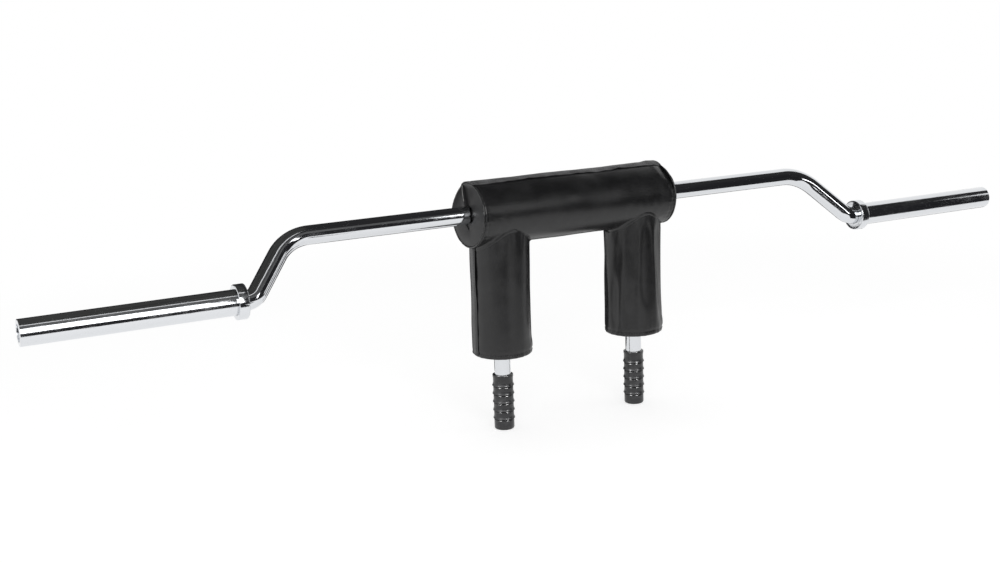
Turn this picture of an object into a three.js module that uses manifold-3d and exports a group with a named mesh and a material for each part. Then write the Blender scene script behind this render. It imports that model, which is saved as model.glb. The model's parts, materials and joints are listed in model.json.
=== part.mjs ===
// Safety squat bar. A bent chromed shaft carries a padded yoke in the middle and a spinning plate
// sleeve at each end. Two handle tubes hang from the shaft, each in its own pad, with a ribbed
// rubber grip at the bottom. Millimetres, +Z up, X along the bar, the front toward -Y.
// The origin lies on the floor under the grips, in the middle of the bar.
import * as THREE from 'three';
import { mergeVertices } from 'three/addons/utils/BufferGeometryUtils.js';
import Module from 'manifold-3d';

// Whole bar
const overallLength = 2290;
const shaftDiameter = 38;
const camberOffset = 118;
const camberTilt = THREE.MathUtils.degToRad(34);
const camberRun = 110.2;
const upperBendRadius = 92;
const lowerBendRadius = 34;
const bendToCollarGap = 0.8;

// Plate sleeves and collars
const sleeveDiameter = 50;
const sleeveLoadLength = 390;
const sleeveChamfer = 1.5;
const collarDiameter = 68;
const collarWidth = 20;
const collarChamfer = 1.8;

// Sleeve bearings, measured along the journal
const journalDiameter = 28;
const bushingWall = 1.9;
const reliefClearance = 1;
const shaftEntry = 5;
const entryClearance = 0.7;
const bushingLength = 50;
const washerThickness = 2;
const washerRimClearance = 0.4;
const endRecess = 6;
const ringLand = 3;
const ringThickness = 1.8;
const ringRadialWidth = 2.3;
const ringGapAngle = THREE.MathUtils.degToRad(52);
const ringEyeDiameter = 1.3;
const grooveDepth = 0.9;
const centreDrillDiameter = 6;
const centreDrillDepth = 4;
const journalChamfer = 1.2;

// Handles and grips
const handleSpacing = 330;
const handleDiameter = 35;
const handleWall = 3;
const bareHandleLength = 45.8;
const gripWall = 3.7;
const gripLength = 121;
const gripRibCount = 5;
const gripRibPitch = 18.2;
const gripRibWidth = 7;
const gripRibCrest = 3;
const gripRibRise = 2;
const gripFloor = 4;
const gripEdge = 2.4;
const gripLipHeight = 5;
const gripLipRise = 0.75;

// Pads
const neckPadDiameter = 138;
const neckPadOverhang = 9;
const neckPadCrown = 1.6;
const neckPadRound = 5.5;
const armPadDiameter = 126;
const armPadReach = 304.5;
const armPadCrown = 0.8;
const armPadRound = 5;
const coverThickness = 2.4;
const closureThickness = 1.8;
const neckClosureWidth = 52;
const neckClosureTilt = THREE.MathUtils.degToRad(9);
const armClosureWidth = 41;
const armClosureTilt = THREE.MathUtils.degToRad(8.5);
const discSlitWidth = 1.4;
const discSlitTilt = THREE.MathUtils.degToRad(25);

// Clearances between neighbours
const seatGap = 0.3;
const runningGap = 0.3;
const foamGap = 0.6;
const cutOverrun = 5;
const weldTolerance = 0.0001;

// Facets around a full turn
const sleeveFacets = 36;
const shaftFacets = 28;
const innerFacets = 24;
const gripFacets = 24;
const padFacets = 36;
const foamFacets = 24;
const bendSteps = 6;
const crownSteps = 6;
const innerCrownSteps = 2;
const roundSteps = 3;
const ringArcSteps = 7;

// Places worked out from the sizes above
const shaftRadius = shaftDiameter / 2;
const sleeveRadius = sleeveDiameter / 2;
const journalRadius = journalDiameter / 2;
const handleRadius = handleDiameter / 2;
const boreRadius = journalRadius + runningGap + bushingWall + seatGap;
const neckPadRadius = neckPadDiameter / 2;
const armPadRadius = armPadDiameter / 2;
const neckPadLength = handleSpacing + armPadDiameter + 2 * neckPadOverhang;
const camberY = -camberOffset * Math.sin(camberTilt);
const camberZ = -camberOffset * Math.cos(camberTilt);
const sleeveLength = collarWidth + sleeveLoadLength;
const collarFace = overallLength / 2 - sleeveLength;
const upperBendPlace = collarFace - bendToCollarGap - camberRun;
const gripBottom = armPadReach + bareHandleLength + gripLength;
const handleReach = gripBottom - gripFloor - seatGap;
const frontReach = -camberY + collarDiameter / 2;
const backReach = neckPadRadius + neckPadCrown;

const wasm = await Module();
wasm.setup();

function toSolid(geometry) {
  const bare = geometry.clone();
  bare.deleteAttribute('normal');
  bare.deleteAttribute('uv');
  const merged = mergeVertices(bare, weldTolerance);
  return new wasm.Manifold(new wasm.Mesh({
    numProp: 3,
    vertProperties: new Float32Array(merged.attributes.position.array),
    triVerts: new Uint32Array(merged.index.array),
  }));
}

function toGeometry(solid) {
  const mesh = solid.getMesh();
  const geometry = new THREE.BufferGeometry();
  geometry.setAttribute('position', new THREE.BufferAttribute(mesh.vertProperties, 3));
  geometry.setIndex(new THREE.BufferAttribute(mesh.triVerts, 1));
  geometry.computeVertexNormals();
  return geometry;
}

// A body turned about the X axis. Its outline is a list of [place along X, radius] that runs along
// the outside toward +X and comes back along the axis or the bore.
function turned(outline, facets) {
  const points = outline.map(([along, radius]) => new THREE.Vector2(radius, along));
  const geometry = new THREE.LatheGeometry(points, facets);
  geometry.rotateZ(-Math.PI / 2);
  return geometry;
}

// The same, standing along Z with +X turned up to +Z.
function turnedUpright(outline, facets) {
  const geometry = turned(outline, facets);
  geometry.rotateY(-Math.PI / 2);
  return geometry;
}

function ringOutline(start, end, innerRadius, outerRadius) {
  return [
    [start, innerRadius],
    [start, outerRadius],
    [end, outerRadius],
    [end, innerRadius],
    [start, innerRadius],
  ];
}

function rodOutline(start, end, radius) {
  return [[start, 0], [start, radius], [end, radius], [end, 0]];
}

// Materials
function finish(colour, roughness, metalness) {
  return new THREE.MeshStandardMaterial({ color: colour, roughness, metalness });
}
const chrome = finish('#c9ccd0', 0.12, 1);
const bronze = finish('#a9824a', 0.4, 1);
const springSteel = finish('#55585c', 0.35, 1);
const rubber = finish('#161616', 0.6, 0);
const vinyl = finish('#1d1d1f', 0.45, 0);
const foam = finish('#3a3a3c', 0.95, 0);
const loopTape = finish('#141415', 0.9, 0);

const bar = new THREE.Group();
bar.position.set(0, (frontReach - backReach) / 2, gripBottom);

function addPiece(parent, name, geometry, material) {
  const piece = new THREE.Mesh(geometry, material);
  piece.name = name;
  parent.add(piece);
  return piece;
}

// The inclined stretch ends in the lower bend, whose own length sets how far its corner lies from
// the collar. Half the slope's tangent follows from both lengths at once.
const inclineReach = Math.sqrt(camberRun ** 2 + camberOffset ** 2 - 2 * lowerBendRadius * camberOffset);
const halfSlopeTangent = camberOffset / (camberRun + inclineReach);
const slope = 2 * Math.atan(halfSlopeTangent);
const lowerBendPlace = collarFace - bendToCollarGap - lowerBendRadius * halfSlopeTangent;

// The stops of one bend, as distance along the bar, drop from its middle and angle of the line.
function bendStops(cornerAlong, cornerDrop, radius, turnsDown) {
  const reach = radius * halfSlopeTangent;
  const startAngle = turnsDown ? 0 : slope;
  const sign = turnsDown ? 1 : -1;
  const startAlong = cornerAlong - reach * Math.cos(startAngle);
  const startDrop = cornerDrop - reach * Math.sin(startAngle);
  const stops = [];
  for (let i = 0; i <= bendSteps; i += 1) {
    const angle = startAngle + sign * slope * (i / bendSteps);
    stops.push({
      along: startAlong + sign * radius * (Math.sin(angle) - Math.sin(startAngle)),
      drop: startDrop + sign * radius * (Math.cos(startAngle) - Math.cos(angle)),
      angle,
    });
  }
  return stops;
}

// The shaft's centre line from end to end: straight middle, bend, slope, bend, straight end.
// Steps fall only where the line turns, so a straight stretch is one step long.
class ShaftLine extends THREE.Curve {
  constructor() {
    super();
    const down = new THREE.Vector3(0, camberY, camberZ).normalize();
    const half = [
      ...bendStops(upperBendPlace, 0, upperBendRadius, true),
      ...bendStops(lowerBendPlace, camberOffset, lowerBendRadius, false),
      { along: collarFace + shaftEntry, drop: camberOffset, angle: 0 },
    ];
    const place = (stop, side) => ({
      point: down.clone().multiplyScalar(stop.drop).setX(side * stop.along),
      tangent: down.clone().multiplyScalar(side * Math.sin(stop.angle)).setX(Math.cos(stop.angle)),
    });
    this.stops = [
      ...half.map((stop) => place(stop, -1)).reverse(),
      ...half.map((stop) => place(stop, 1)),
    ];
  }

  stop(share) {
    return this.stops[Math.round(share * (this.stops.length - 1))];
  }

  getPoint(share) {
    return this.stop(share).point.clone();
  }

  getPointAt(share) {
    return this.getPoint(share);
  }

  getTangent(share) {
    return this.stop(share).tangent.clone();
  }

  getTangentAt(share) {
    return this.getTangent(share);
  }
}

function circleShape(radius, facets) {
  const shape = new THREE.Shape();
  for (let i = 0; i < facets; i += 1) {
    const angle = (i / facets) * 2 * Math.PI;
    const x = radius * Math.cos(angle);
    const y = radius * Math.sin(angle);
    if (i === 0) shape.moveTo(x, y);
    else shape.lineTo(x, y);
  }
  shape.closePath();
  return shape;
}

// One end of the shaft, turned down for the sleeve: shoulder, running journal, ring groove,
// chamfered tip and centre-drilled face. Measured from the collar's inner face outward.
const shaftTip = sleeveLength - endRecess;
const grooveEnd = shaftTip - ringLand;
const grooveStart = grooveEnd - ringThickness - 2 * seatGap;
function journal() {
  const grooveRadius = journalRadius - grooveDepth;
  return turned([
    [shaftEntry - cutOverrun, 0],
    [shaftEntry - cutOverrun, journalRadius],
    [grooveStart, journalRadius],
    [grooveStart, grooveRadius],
    [grooveEnd, grooveRadius],
    [grooveEnd, journalRadius],
    [shaftTip - journalChamfer, journalRadius],
    [shaftTip, journalRadius - journalChamfer],
    [shaftTip, centreDrillDiameter / 2],
    [shaftTip - centreDrillDepth, 0],
  ], innerFacets);
}

// Puts a geometry, drawn for the right-hand end with +X outward, at either end of the bar.
function atSleeve(geometry, side) {
  const placed = geometry.clone();
  if (side < 0) placed.rotateZ(Math.PI);
  placed.translate(side * collarFace, camberY, camberZ);
  return placed;
}

function buildShaft() {
  const line = new ShaftLine();
  const bentRod = new THREE.ExtrudeGeometry(circleShape(shaftRadius, shaftFacets), {
    steps: line.stops.length - 1,
    bevelEnabled: false,
    extrudePath: line,
  });
  let solid = toSolid(bentRod);
  for (const side of [-1, 1]) solid = solid.add(toSolid(atSleeve(journal(), side)));
  addPiece(bar, 'shaft', toGeometry(solid), chrome);
}

// Sleeve parts along the journal, from the collar's inner face outward
const thrustWasherStart = shaftEntry + runningGap;
const innerBushingStart = thrustWasherStart + washerThickness + runningGap;
const innerSeatEnd = innerBushingStart + bushingLength + seatGap;
const ringStart = grooveStart + seatGap;
const endWasherEnd = ringStart - seatGap;
const endWasherStart = endWasherEnd - washerThickness;
const outerBushingEnd = endWasherStart - runningGap;
const outerSeatStart = outerBushingEnd - bushingLength - seatGap;

function sleeveTube() {
  const entryRadius = shaftRadius + entryClearance;
  const reliefRadius = journalRadius + reliefClearance;
  return turned([
    [0, entryRadius],
    [0, sleeveRadius],
    [sleeveLength - sleeveChamfer, sleeveRadius],
    [sleeveLength, sleeveRadius - sleeveChamfer],
    [sleeveLength, boreRadius],
    [outerSeatStart, boreRadius],
    [outerSeatStart, reliefRadius],
    [innerSeatEnd, reliefRadius],
    [innerSeatEnd, boreRadius],
    [innerBushingStart, boreRadius],
    [innerBushingStart, entryRadius],
    [0, entryRadius],
  ], sleeveFacets);
}

function collar() {
  const seatRadius = sleeveRadius + seatGap;
  const rimRadius = collarDiameter / 2;
  return turned([
    [0, seatRadius],
    [0, rimRadius - collarChamfer],
    [collarChamfer, rimRadius],
    [collarWidth - collarChamfer, rimRadius],
    [collarWidth, rimRadius - collarChamfer],
    [collarWidth, seatRadius],
    [0, seatRadius],
  ], sleeveFacets);
}

function bushing(start) {
  const innerRadius = journalRadius + runningGap;
  const outerRadius = innerRadius + bushingWall;
  return turned(ringOutline(start, start + bushingLength, innerRadius, outerRadius), innerFacets);
}

function washer(start, outerRadius) {
  const innerRadius = journalRadius + runningGap;
  return turned(ringOutline(start, start + washerThickness, innerRadius, outerRadius), innerFacets);
}

// The retaining ring is an open C with a plier eye near each end.
function snapRing() {
  const innerRadius = journalRadius - grooveDepth + seatGap;
  const outerRadius = innerRadius + ringRadialWidth;
  const middleRadius = (innerRadius + outerRadius) / 2;
  const start = ringGapAngle / 2;
  const end = 2 * Math.PI - ringGapAngle / 2;
  const eyeAngle = start + ringEyeDiameter / middleRadius;
  const shape = new THREE.Shape();
  shape.absarc(0, 0, outerRadius, start, end, false);
  shape.absarc(0, 0, innerRadius, end, start, true);
  for (const angle of [eyeAngle, -eyeAngle]) {
    const eye = new THREE.Path();
    const x = middleRadius * Math.cos(angle);
    const y = middleRadius * Math.sin(angle);
    eye.absarc(x, y, ringEyeDiameter / 2, 0, 2 * Math.PI, false);
    shape.holes.push(eye);
  }
  const geometry = new THREE.ExtrudeGeometry(shape, {
    depth: ringThickness,
    bevelEnabled: false,
    curveSegments: ringArcSteps,
  });
  geometry.rotateY(Math.PI / 2);
  geometry.translate(ringStart, 0, 0);
  return toGeometry(toSolid(geometry));
}

function buildSleeve(side, sideName) {
  const end = new THREE.Group();
  end.position.set(side * collarFace, camberY, camberZ);
  end.rotation.z = side < 0 ? Math.PI : 0;
  bar.add(end);
  const thrustWasherRadius = shaftRadius + entryClearance - washerRimClearance;
  const endWasherRadius = boreRadius - washerRimClearance;
  addPiece(end, `${sideName}_sleeve_tube`, sleeveTube(), chrome);
  addPiece(end, `${sideName}_collar`, collar(), chrome);
  addPiece(end, `${sideName}_inner_bushing`, bushing(innerBushingStart), bronze);
  addPiece(end, `${sideName}_outer_bushing`, bushing(outerBushingEnd - bushingLength), bronze);
  addPiece(end, `${sideName}_thrust_washer`, washer(thrustWasherStart, thrustWasherRadius), springSteel);
  addPiece(end, `${sideName}_end_washer`, washer(endWasherStart, endWasherRadius), springSteel);
  addPiece(end, `${sideName}_snap_ring`, snapRing(), springSteel);
}

// The handle tube is coped to the underside of the shaft, where it is welded.
function handleTube() {
  const innerRadius = handleRadius - handleWall;
  const tube = turnedUpright(ringOutline(-handleReach, 0, innerRadius, handleRadius), innerFacets);
  const underside = rodOutline(-handleDiameter, handleDiameter, shaftRadius + seatGap);
  const cope = toSolid(turned(underside, shaftFacets));
  return toGeometry(toSolid(tube).subtract(cope));
}

// The rubber grip is a closed-bottomed sock with five raised rings and a thicker lip at the top.
function grip() {
  const socketRadius = handleRadius + seatGap;
  const bodyRadius = socketRadius + gripWall;
  const ribRadius = bodyRadius + gripRibRise;
  const lipRadius = bodyRadius + gripLipRise;
  const ribsLength = (gripRibCount - 1) * gripRibPitch;
  const firstRib = (gripLength - ribsLength) / 2;
  const outline = [[0, 0], [0, bodyRadius - gripEdge], [gripEdge, bodyRadius]];
  for (let i = 0; i < gripRibCount; i += 1) {
    const middle = firstRib + i * gripRibPitch;
    outline.push([middle - gripRibWidth / 2, bodyRadius]);
    outline.push([middle - gripRibCrest / 2, ribRadius]);
    outline.push([middle + gripRibCrest / 2, ribRadius]);
    outline.push([middle + gripRibWidth / 2, bodyRadius]);
  }
  const lipStart = gripLength - gripLipHeight;
  outline.push([lipStart - gripEdge, bodyRadius]);
  outline.push([lipStart, lipRadius]);
  outline.push([gripLength - gripEdge / 2, lipRadius]);
  outline.push([gripLength, lipRadius - gripEdge / 2]);
  outline.push([gripLength, socketRadius]);
  outline.push([gripFloor, socketRadius]);
  outline.push([gripFloor, 0]);
  const geometry = turnedUpright(outline, gripFacets);
  geometry.translate(0, 0, -gripBottom);
  return geometry;
}

// The outside of a pad along its length: rounded ends and a slight crown between them.
function padLine(start, end, radius, crown, round, steps, roundStart = true) {
  const line = [];
  const middleStart = roundStart ? start + round : start;
  const middleEnd = end - round;
  if (roundStart) {
    for (let i = 0; i < roundSteps; i += 1) {
      const angle = (i / roundSteps) * (Math.PI / 2);
      line.push([start + round * (1 - Math.sin(angle)), radius - round * (1 - Math.cos(angle))]);
    }
    line.reverse();
    line.unshift([start, radius - round]);
  }
  for (let i = 1; i < steps; i += 1) {
    const share = i / steps;
    const along = middleStart + (middleEnd - middleStart) * share;
    line.push([along, radius + crown * Math.sin(Math.PI * share)]);
  }
  for (let i = 0; i <= roundSteps; i += 1) {
    const angle = (i / roundSteps) * (Math.PI / 2);
    line.push([middleEnd + round * Math.sin(angle), radius - round * (1 - Math.cos(angle))]);
  }
  return line;
}

// The neck pad's solid outline at a distance from its outer face, used for its foam and for cuts.
function neckSolid(offset, steps, facets) {
  const half = neckPadLength / 2 + offset;
  const round = neckPadRound + offset;
  const line = padLine(-half, half, neckPadRadius + offset, neckPadCrown, round, steps);
  return toSolid(turned([[-half, 0], ...line, [half, 0]], facets));
}

function handleHoles(solid) {
  let result = solid;
  for (const side of [-1, 1]) {
    const hole = turnedUpright(rodOutline(-neckPadDiameter, 0, handleRadius + seatGap), innerFacets);
    hole.translate(side * (handleSpacing / 2), 0, 0);
    result = result.subtract(toSolid(hole));
  }
  return result;
}

function shaftHole(clearance) {
  const half = neckPadLength / 2 + cutOverrun;
  return toSolid(turned(rodOutline(-half, half, shaftRadius + clearance), shaftFacets));
}

// A closed shell of the cover's thickness round the neck foam, open in the middle of each end.
function neckCover() {
  const half = neckPadLength / 2;
  const openRadius = neckPadRadius - neckPadRound;
  const outer = padLine(-half, half, neckPadRadius, neckPadCrown, neckPadRound, crownSteps);
  const inner = padLine(
    -half + coverThickness,
    half - coverThickness,
    neckPadRadius - coverThickness,
    neckPadCrown,
    neckPadRound - coverThickness,
    innerCrownSteps,
  );
  const outline = [...outer, ...inner.reverse()];
  outline.push(outline[0]);
  const shell = toSolid(turned(outline, padFacets));
  const opening = rodOutline(-half - cutOverrun, half + cutOverrun, openRadius);
  return toGeometry(handleHoles(shell.subtract(toSolid(turned(opening, padFacets)))));
}

function neckFoam() {
  const core = neckSolid(-coverThickness - foamGap, innerCrownSteps, foamFacets);
  return toGeometry(handleHoles(core.subtract(shaftHole(seatGap))));
}

// The end disc closes the cover round the shaft. It is slit from the shaft up toward the back, so
// that it can be fitted. A left disc is turned half round, so its slit leans the other way first.
function neckEndDisc(side) {
  const half = neckPadLength / 2;
  const rimRadius = neckPadRadius - neckPadRound - seatGap;
  const outline = ringOutline(half - coverThickness, half, shaftRadius + seatGap, rimRadius);
  const disc = toSolid(turned(outline, padFacets));
  const slit = new THREE.BoxGeometry(cutOverrun * 2, discSlitWidth, neckPadRadius);
  slit.translate(half, 0, neckPadRadius / 2);
  slit.rotateX(-side * discSlitTilt);
  return toGeometry(disc.subtract(toSolid(slit)));
}

// A strip of the shell just outside a pad that lies along X. It runs along the top of the pad,
// tilted from there toward the back.
function closureStrip(line, width, radius, tilt) {
  const inner = line.map(([along, r]) => [along, r + seatGap]);
  const outer = line.map(([along, r]) => [along, r + seatGap + closureThickness]);
  const outline = [...outer, ...inner.reverse()];
  outline.push(outline[0]);
  const shell = toSolid(turned(outline, padFacets));
  const halfAngle = width / radius / 2;
  const reach = 2 * radius;
  const wedge = new THREE.Shape();
  wedge.moveTo(0, 0);
  wedge.lineTo(reach * Math.cos(-tilt - halfAngle), reach * Math.sin(-tilt - halfAngle));
  wedge.lineTo(reach * Math.cos(-tilt + halfAngle), reach * Math.sin(-tilt + halfAngle));
  wedge.closePath();
  const start = line[0][0] - cutOverrun;
  const end = line[line.length - 1][0] + cutOverrun;
  const keep = new THREE.ExtrudeGeometry(wedge, { depth: end - start, bevelEnabled: false });
  keep.translate(0, 0, start);
  keep.rotateY(Math.PI / 2);
  keep.rotateX(Math.PI);
  return shell.intersect(toSolid(keep));
}

// Only the straight middle of the pad carries its closure, clear of the rounded ends.
function closureLine(start, end, radius, crown) {
  const line = [];
  for (let i = 0; i <= crownSteps; i += 1) {
    const share = i / crownSteps;
    line.push([start + (end - start) * share, radius + crown * Math.sin(Math.PI * share)]);
  }
  return line;
}

function neckClosure() {
  const half = neckPadLength / 2 - neckPadRound;
  const line = closureLine(-half, half, neckPadRadius, neckPadCrown);
  const strip = closureStrip(line, neckClosureWidth, neckPadRadius, neckClosureTilt);
  return toGeometry(strip);
}

// The arm pad hangs on its handle tube and is coped to the underside of the neck pad.
function armCover() {
  const openRadius = armPadRadius - armPadRound;
  const innerRadius = armPadRadius - coverThickness;
  const innerReach = armPadReach - coverThickness;
  const innerRound = armPadRound - coverThickness;
  const outer = padLine(0, armPadReach, armPadRadius, armPadCrown, armPadRound, crownSteps, false);
  const inner = padLine(0, innerReach, innerRadius, armPadCrown, innerRound, innerCrownSteps, false);
  const outline = [
    [0, innerRadius],
    [0, armPadRadius],
    ...outer,
    [innerReach, openRadius],
    ...inner.reverse().slice(1),
    [0, innerRadius],
  ];
  return toGeometry(hung(outline, padFacets).subtract(neckSolidAtArm()));
}

// A turned outline that runs downward from the shaft's axis, stood upright under it.
function hung(outline, facets) {
  const geometry = turned(outline, facets);
  geometry.rotateY(Math.PI / 2);
  return toSolid(geometry);
}

function neckSolidAtArm() {
  return neckSolid(seatGap, crownSteps, padFacets).translate([-handleSpacing / 2, 0, 0]);
}

function armFoam() {
  const inset = coverThickness + foamGap;
  const radius = armPadRadius - inset;
  const reach = armPadReach - inset;
  const outer = padLine(0, reach, radius, armPadCrown, armPadRound - inset, innerCrownSteps, false);
  const outline = [[0, 0], [0, radius], ...outer, [reach, 0]];
  const bore = hung(rodOutline(0, armPadReach, handleRadius + seatGap), innerFacets);
  return toGeometry(hung(outline, foamFacets).subtract(bore).subtract(neckSolidAtArm()));
}

function armBottomDisc() {
  const rimRadius = armPadRadius - armPadRound - seatGap;
  const outline = ringOutline(armPadReach - coverThickness, armPadReach, handleRadius + seatGap, rimRadius);
  return toGeometry(hung(outline, padFacets));
}

// It leans toward the back on both arms. The left arm is turned half round, so it leans the other
// way first.
function armClosure(side) {
  const line = closureLine(0, armPadReach - armPadRound, armPadRadius, armPadCrown);
  const strip = closureStrip(line, armClosureWidth, armPadRadius, side * armClosureTilt);
  const upright = toGeometry(strip);
  upright.rotateY(Math.PI / 2);
  return toGeometry(toSolid(upright).subtract(neckSolidAtArm()));
}

function buildArm(side, sideName) {
  const arm = new THREE.Group();
  arm.position.set(side * (handleSpacing / 2), 0, 0);
  arm.rotation.z = side < 0 ? Math.PI : 0;
  bar.add(arm);
  addPiece(arm, `${sideName}_handle_tube`, handleTube(), chrome);
  addPiece(arm, `${sideName}_grip`, grip(), rubber);
  addPiece(arm, `${sideName}_arm_foam`, armFoam(), foam);
  addPiece(arm, `${sideName}_arm_cover`, armCover(), vinyl);
  addPiece(arm, `${sideName}_arm_bottom_disc`, armBottomDisc(), vinyl);
  addPiece(arm, `${sideName}_arm_closure`, armClosure(side), loopTape);
}

function buildNeckPad() {
  addPiece(bar, 'neck_foam', neckFoam(), foam);
  addPiece(bar, 'neck_cover', neckCover(), vinyl);
  addPiece(bar, 'neck_closure', neckClosure(), loopTape);
}

function buildNeckEnd(side, sideName) {
  const disc = addPiece(bar, `${sideName}_neck_end_disc`, neckEndDisc(side), vinyl);
  disc.rotation.z = side < 0 ? Math.PI : 0;
}

buildShaft();
buildNeckPad();
for (const [side, sideName] of [[-1, 'left'], [1, 'right']]) {
  buildSleeve(side, sideName);
  buildNeckEnd(side, sideName);
  buildArm(side, sideName);
}

export default bar;
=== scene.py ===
# A safety squat bar on a white studio sweep: chromed shaft, turning plate sleeves, padded yoke and
# two hanging handles with ribbed rubber grips. Metres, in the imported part's own frame.
import json
import math

import bmesh
import bpy
from mathutils import Matrix, Vector, noise
from mathutils.bvhtree import BVHTree

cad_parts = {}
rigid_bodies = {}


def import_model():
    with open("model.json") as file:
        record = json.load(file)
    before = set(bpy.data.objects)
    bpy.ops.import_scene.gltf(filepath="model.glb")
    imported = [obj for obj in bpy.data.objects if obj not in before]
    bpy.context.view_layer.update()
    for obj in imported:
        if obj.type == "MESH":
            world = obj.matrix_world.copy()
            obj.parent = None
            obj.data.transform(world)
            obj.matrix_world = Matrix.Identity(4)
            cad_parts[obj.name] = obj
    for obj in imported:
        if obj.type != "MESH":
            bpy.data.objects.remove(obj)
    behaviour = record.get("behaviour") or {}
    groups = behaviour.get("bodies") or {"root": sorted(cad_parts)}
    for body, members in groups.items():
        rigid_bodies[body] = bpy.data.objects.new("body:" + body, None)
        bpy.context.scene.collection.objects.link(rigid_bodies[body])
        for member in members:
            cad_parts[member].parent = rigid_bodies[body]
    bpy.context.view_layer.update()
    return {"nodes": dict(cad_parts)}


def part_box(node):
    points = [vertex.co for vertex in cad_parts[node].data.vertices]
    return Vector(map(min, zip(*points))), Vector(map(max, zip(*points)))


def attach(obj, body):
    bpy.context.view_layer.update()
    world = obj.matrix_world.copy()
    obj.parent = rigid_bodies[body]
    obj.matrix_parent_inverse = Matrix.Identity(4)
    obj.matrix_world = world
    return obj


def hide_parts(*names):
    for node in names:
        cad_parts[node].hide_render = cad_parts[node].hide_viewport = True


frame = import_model()


# ---- Studio ----
# The bar was photographed on a white sweep that ends a step in front of it, in a dark room.
# Chrome shows that as bands: white sweep below, dark room in front and overhead, bright wall to
# the left. The dark cloths are seen by gloss alone, so they neither shade nor show.
def linear(hex_colour):
    """An sRGB hex colour as linear RGBA."""
    channels = [int(hex_colour[i:i + 2], 16) / 255 for i in (1, 3, 5)]
    return tuple(c / 12.92 if c <= 0.04045 else ((c + 0.055) / 1.055) ** 2.4 for c in channels) + (1.0,)


def add_node(owner, kind, inputs=None, **settings):
    """Adds a shader node with its settings. An input takes a value, another node's output, or a
    node, which stands for its first output."""
    node = owner.node_tree.nodes.new("ShaderNode" + kind)
    for name, value in settings.items():
        setattr(node, name, value)
    for name, value in (inputs or {}).items():
        if isinstance(value, bpy.types.Node):
            value = value.outputs[0]
        if isinstance(value, bpy.types.NodeSocket):
            owner.node_tree.links.new(value, node.inputs[name])
        else:
            node.inputs[name].default_value = value
    return node


def blank(owner):
    """A new material or world, ready for its own nodes."""
    owner.use_nodes = True
    owner.node_tree.nodes.clear()
    return owner


def mesh_piece(name, points, faces):
    mesh = bpy.data.meshes.new(name)
    mesh.from_pydata([tuple(p) for p in points], [], faces)
    mesh.validate()
    piece = bpy.data.objects.new(name, mesh)
    scene.collection.objects.link(piece)
    return piece


def panel(name, centre, along, up, material):
    """A flat rectangle with its middle at centre and two half sides."""
    c, a, u = Vector(centre), Vector(along), Vector(up)
    piece = mesh_piece(name, [c - a - u, c + a - u, c + a + u, c - a + u], [(0, 1, 2, 3)])
    piece.data.materials.append(material)
    return piece


scene = bpy.context.scene
scene.view_settings.view_transform = "Standard"

CAMERA_PLACE = (-1.4649, -2.5463, 0.9698)
CAMERA_HEADING = math.radians(-26.93)
CAMERA_PITCH = math.radians(12.70)
CAMERA_ROLL = math.radians(-2.0)
CAMERA_LENS_MM = 50.35
CAMERA_SENSOR_MM = 36.0
CAMERA_REACH = 60
camera_data = bpy.data.cameras.new("camera")
camera_data.lens = CAMERA_LENS_MM
camera_data.sensor_width = CAMERA_SENSOR_MM
camera_data.clip_end = CAMERA_REACH
camera = bpy.data.objects.new("camera", camera_data)
camera.matrix_world = (
    Matrix.Translation(CAMERA_PLACE)
    @ Matrix.Rotation(CAMERA_HEADING, 4, "Z")
    @ Matrix.Rotation(math.pi / 2 - CAMERA_PITCH, 4, "X")
    @ Matrix.Rotation(CAMERA_ROLL, 4, "Z")
)
scene.collection.objects.link(camera)
scene.camera = camera


def seen_share(owner):
    """1 for a ray from the camera, a mirror or glass, and 0 for one that only brings light."""
    rays = add_node(owner, "LightPath").outputs
    seen = add_node(
        owner, "Math", {0: rays["Is Camera Ray"], 1: rays["Is Glossy Ray"]}, operation="ADD")
    return add_node(
        owner, "Math", {0: seen, 1: rays["Is Transmission Ray"]}, operation="ADD", use_clamp=True)


WALL_WHITE = "#FFFFFF"
WALL_LIGHT = 0.5
world = blank(bpy.data.worlds.new("white studio"))
scene.world = world
strength = add_node(world, "Mix", {0: seen_share(world), 2: WALL_LIGHT, 3: 1.0}, data_type="FLOAT")
backdrop = add_node(world, "Background", {"Color": linear(WALL_WHITE), "Strength": strength})
add_node(world, "OutputWorld", {"Surface": backdrop})

SWEEP_WHITE = "#BEBEBE"
SWEEP_LIFT = 0.66
SWEEP_REACH = 14
SWEEP_DROP = 0.0004
SWEEP_NEAR = 1.3
SWEEP_FAR = 2.4
# Matt paper scatters light evenly. Away from the bar it is lit until it burns out to plain white.
sweep_paper = blank(bpy.data.materials.new("seamless white paper, matt"))
paper_seen = seen_share(sweep_paper)
paper_place = add_node(sweep_paper, "TexCoord").outputs["Object"]
paper_reach = add_node(sweep_paper, "VectorMath", {0: paper_place}, operation="LENGTH").outputs["Value"]
paper_away = add_node(
    sweep_paper, "MapRange", {"Value": paper_reach, "From Min": SWEEP_NEAR, "From Max": SWEEP_FAR},
    interpolation_type="SMOOTHSTEP")
paper_lift = add_node(sweep_paper, "Math", {0: paper_seen, 1: SWEEP_LIFT}, operation="MULTIPLY")
paper = add_node(sweep_paper, "BsdfDiffuse", {"Color": linear(SWEEP_WHITE)})
glow = add_node(sweep_paper, "Emission", {"Color": linear(WALL_WHITE), "Strength": paper_lift})
near_paper = add_node(sweep_paper, "AddShader", {0: paper, 1: glow})
far_paper = add_node(sweep_paper, "Emission", {"Color": linear(WALL_WHITE), "Strength": 1.0})
paper_away = add_node(sweep_paper, "Math", {0: paper_away, 1: paper_seen}, operation="MULTIPLY")
paper_mix = add_node(sweep_paper, "MixShader", {0: paper_away, 1: near_paper, 2: far_paper})
add_node(sweep_paper, "OutputMaterial", {"Surface": paper_mix})
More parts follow.
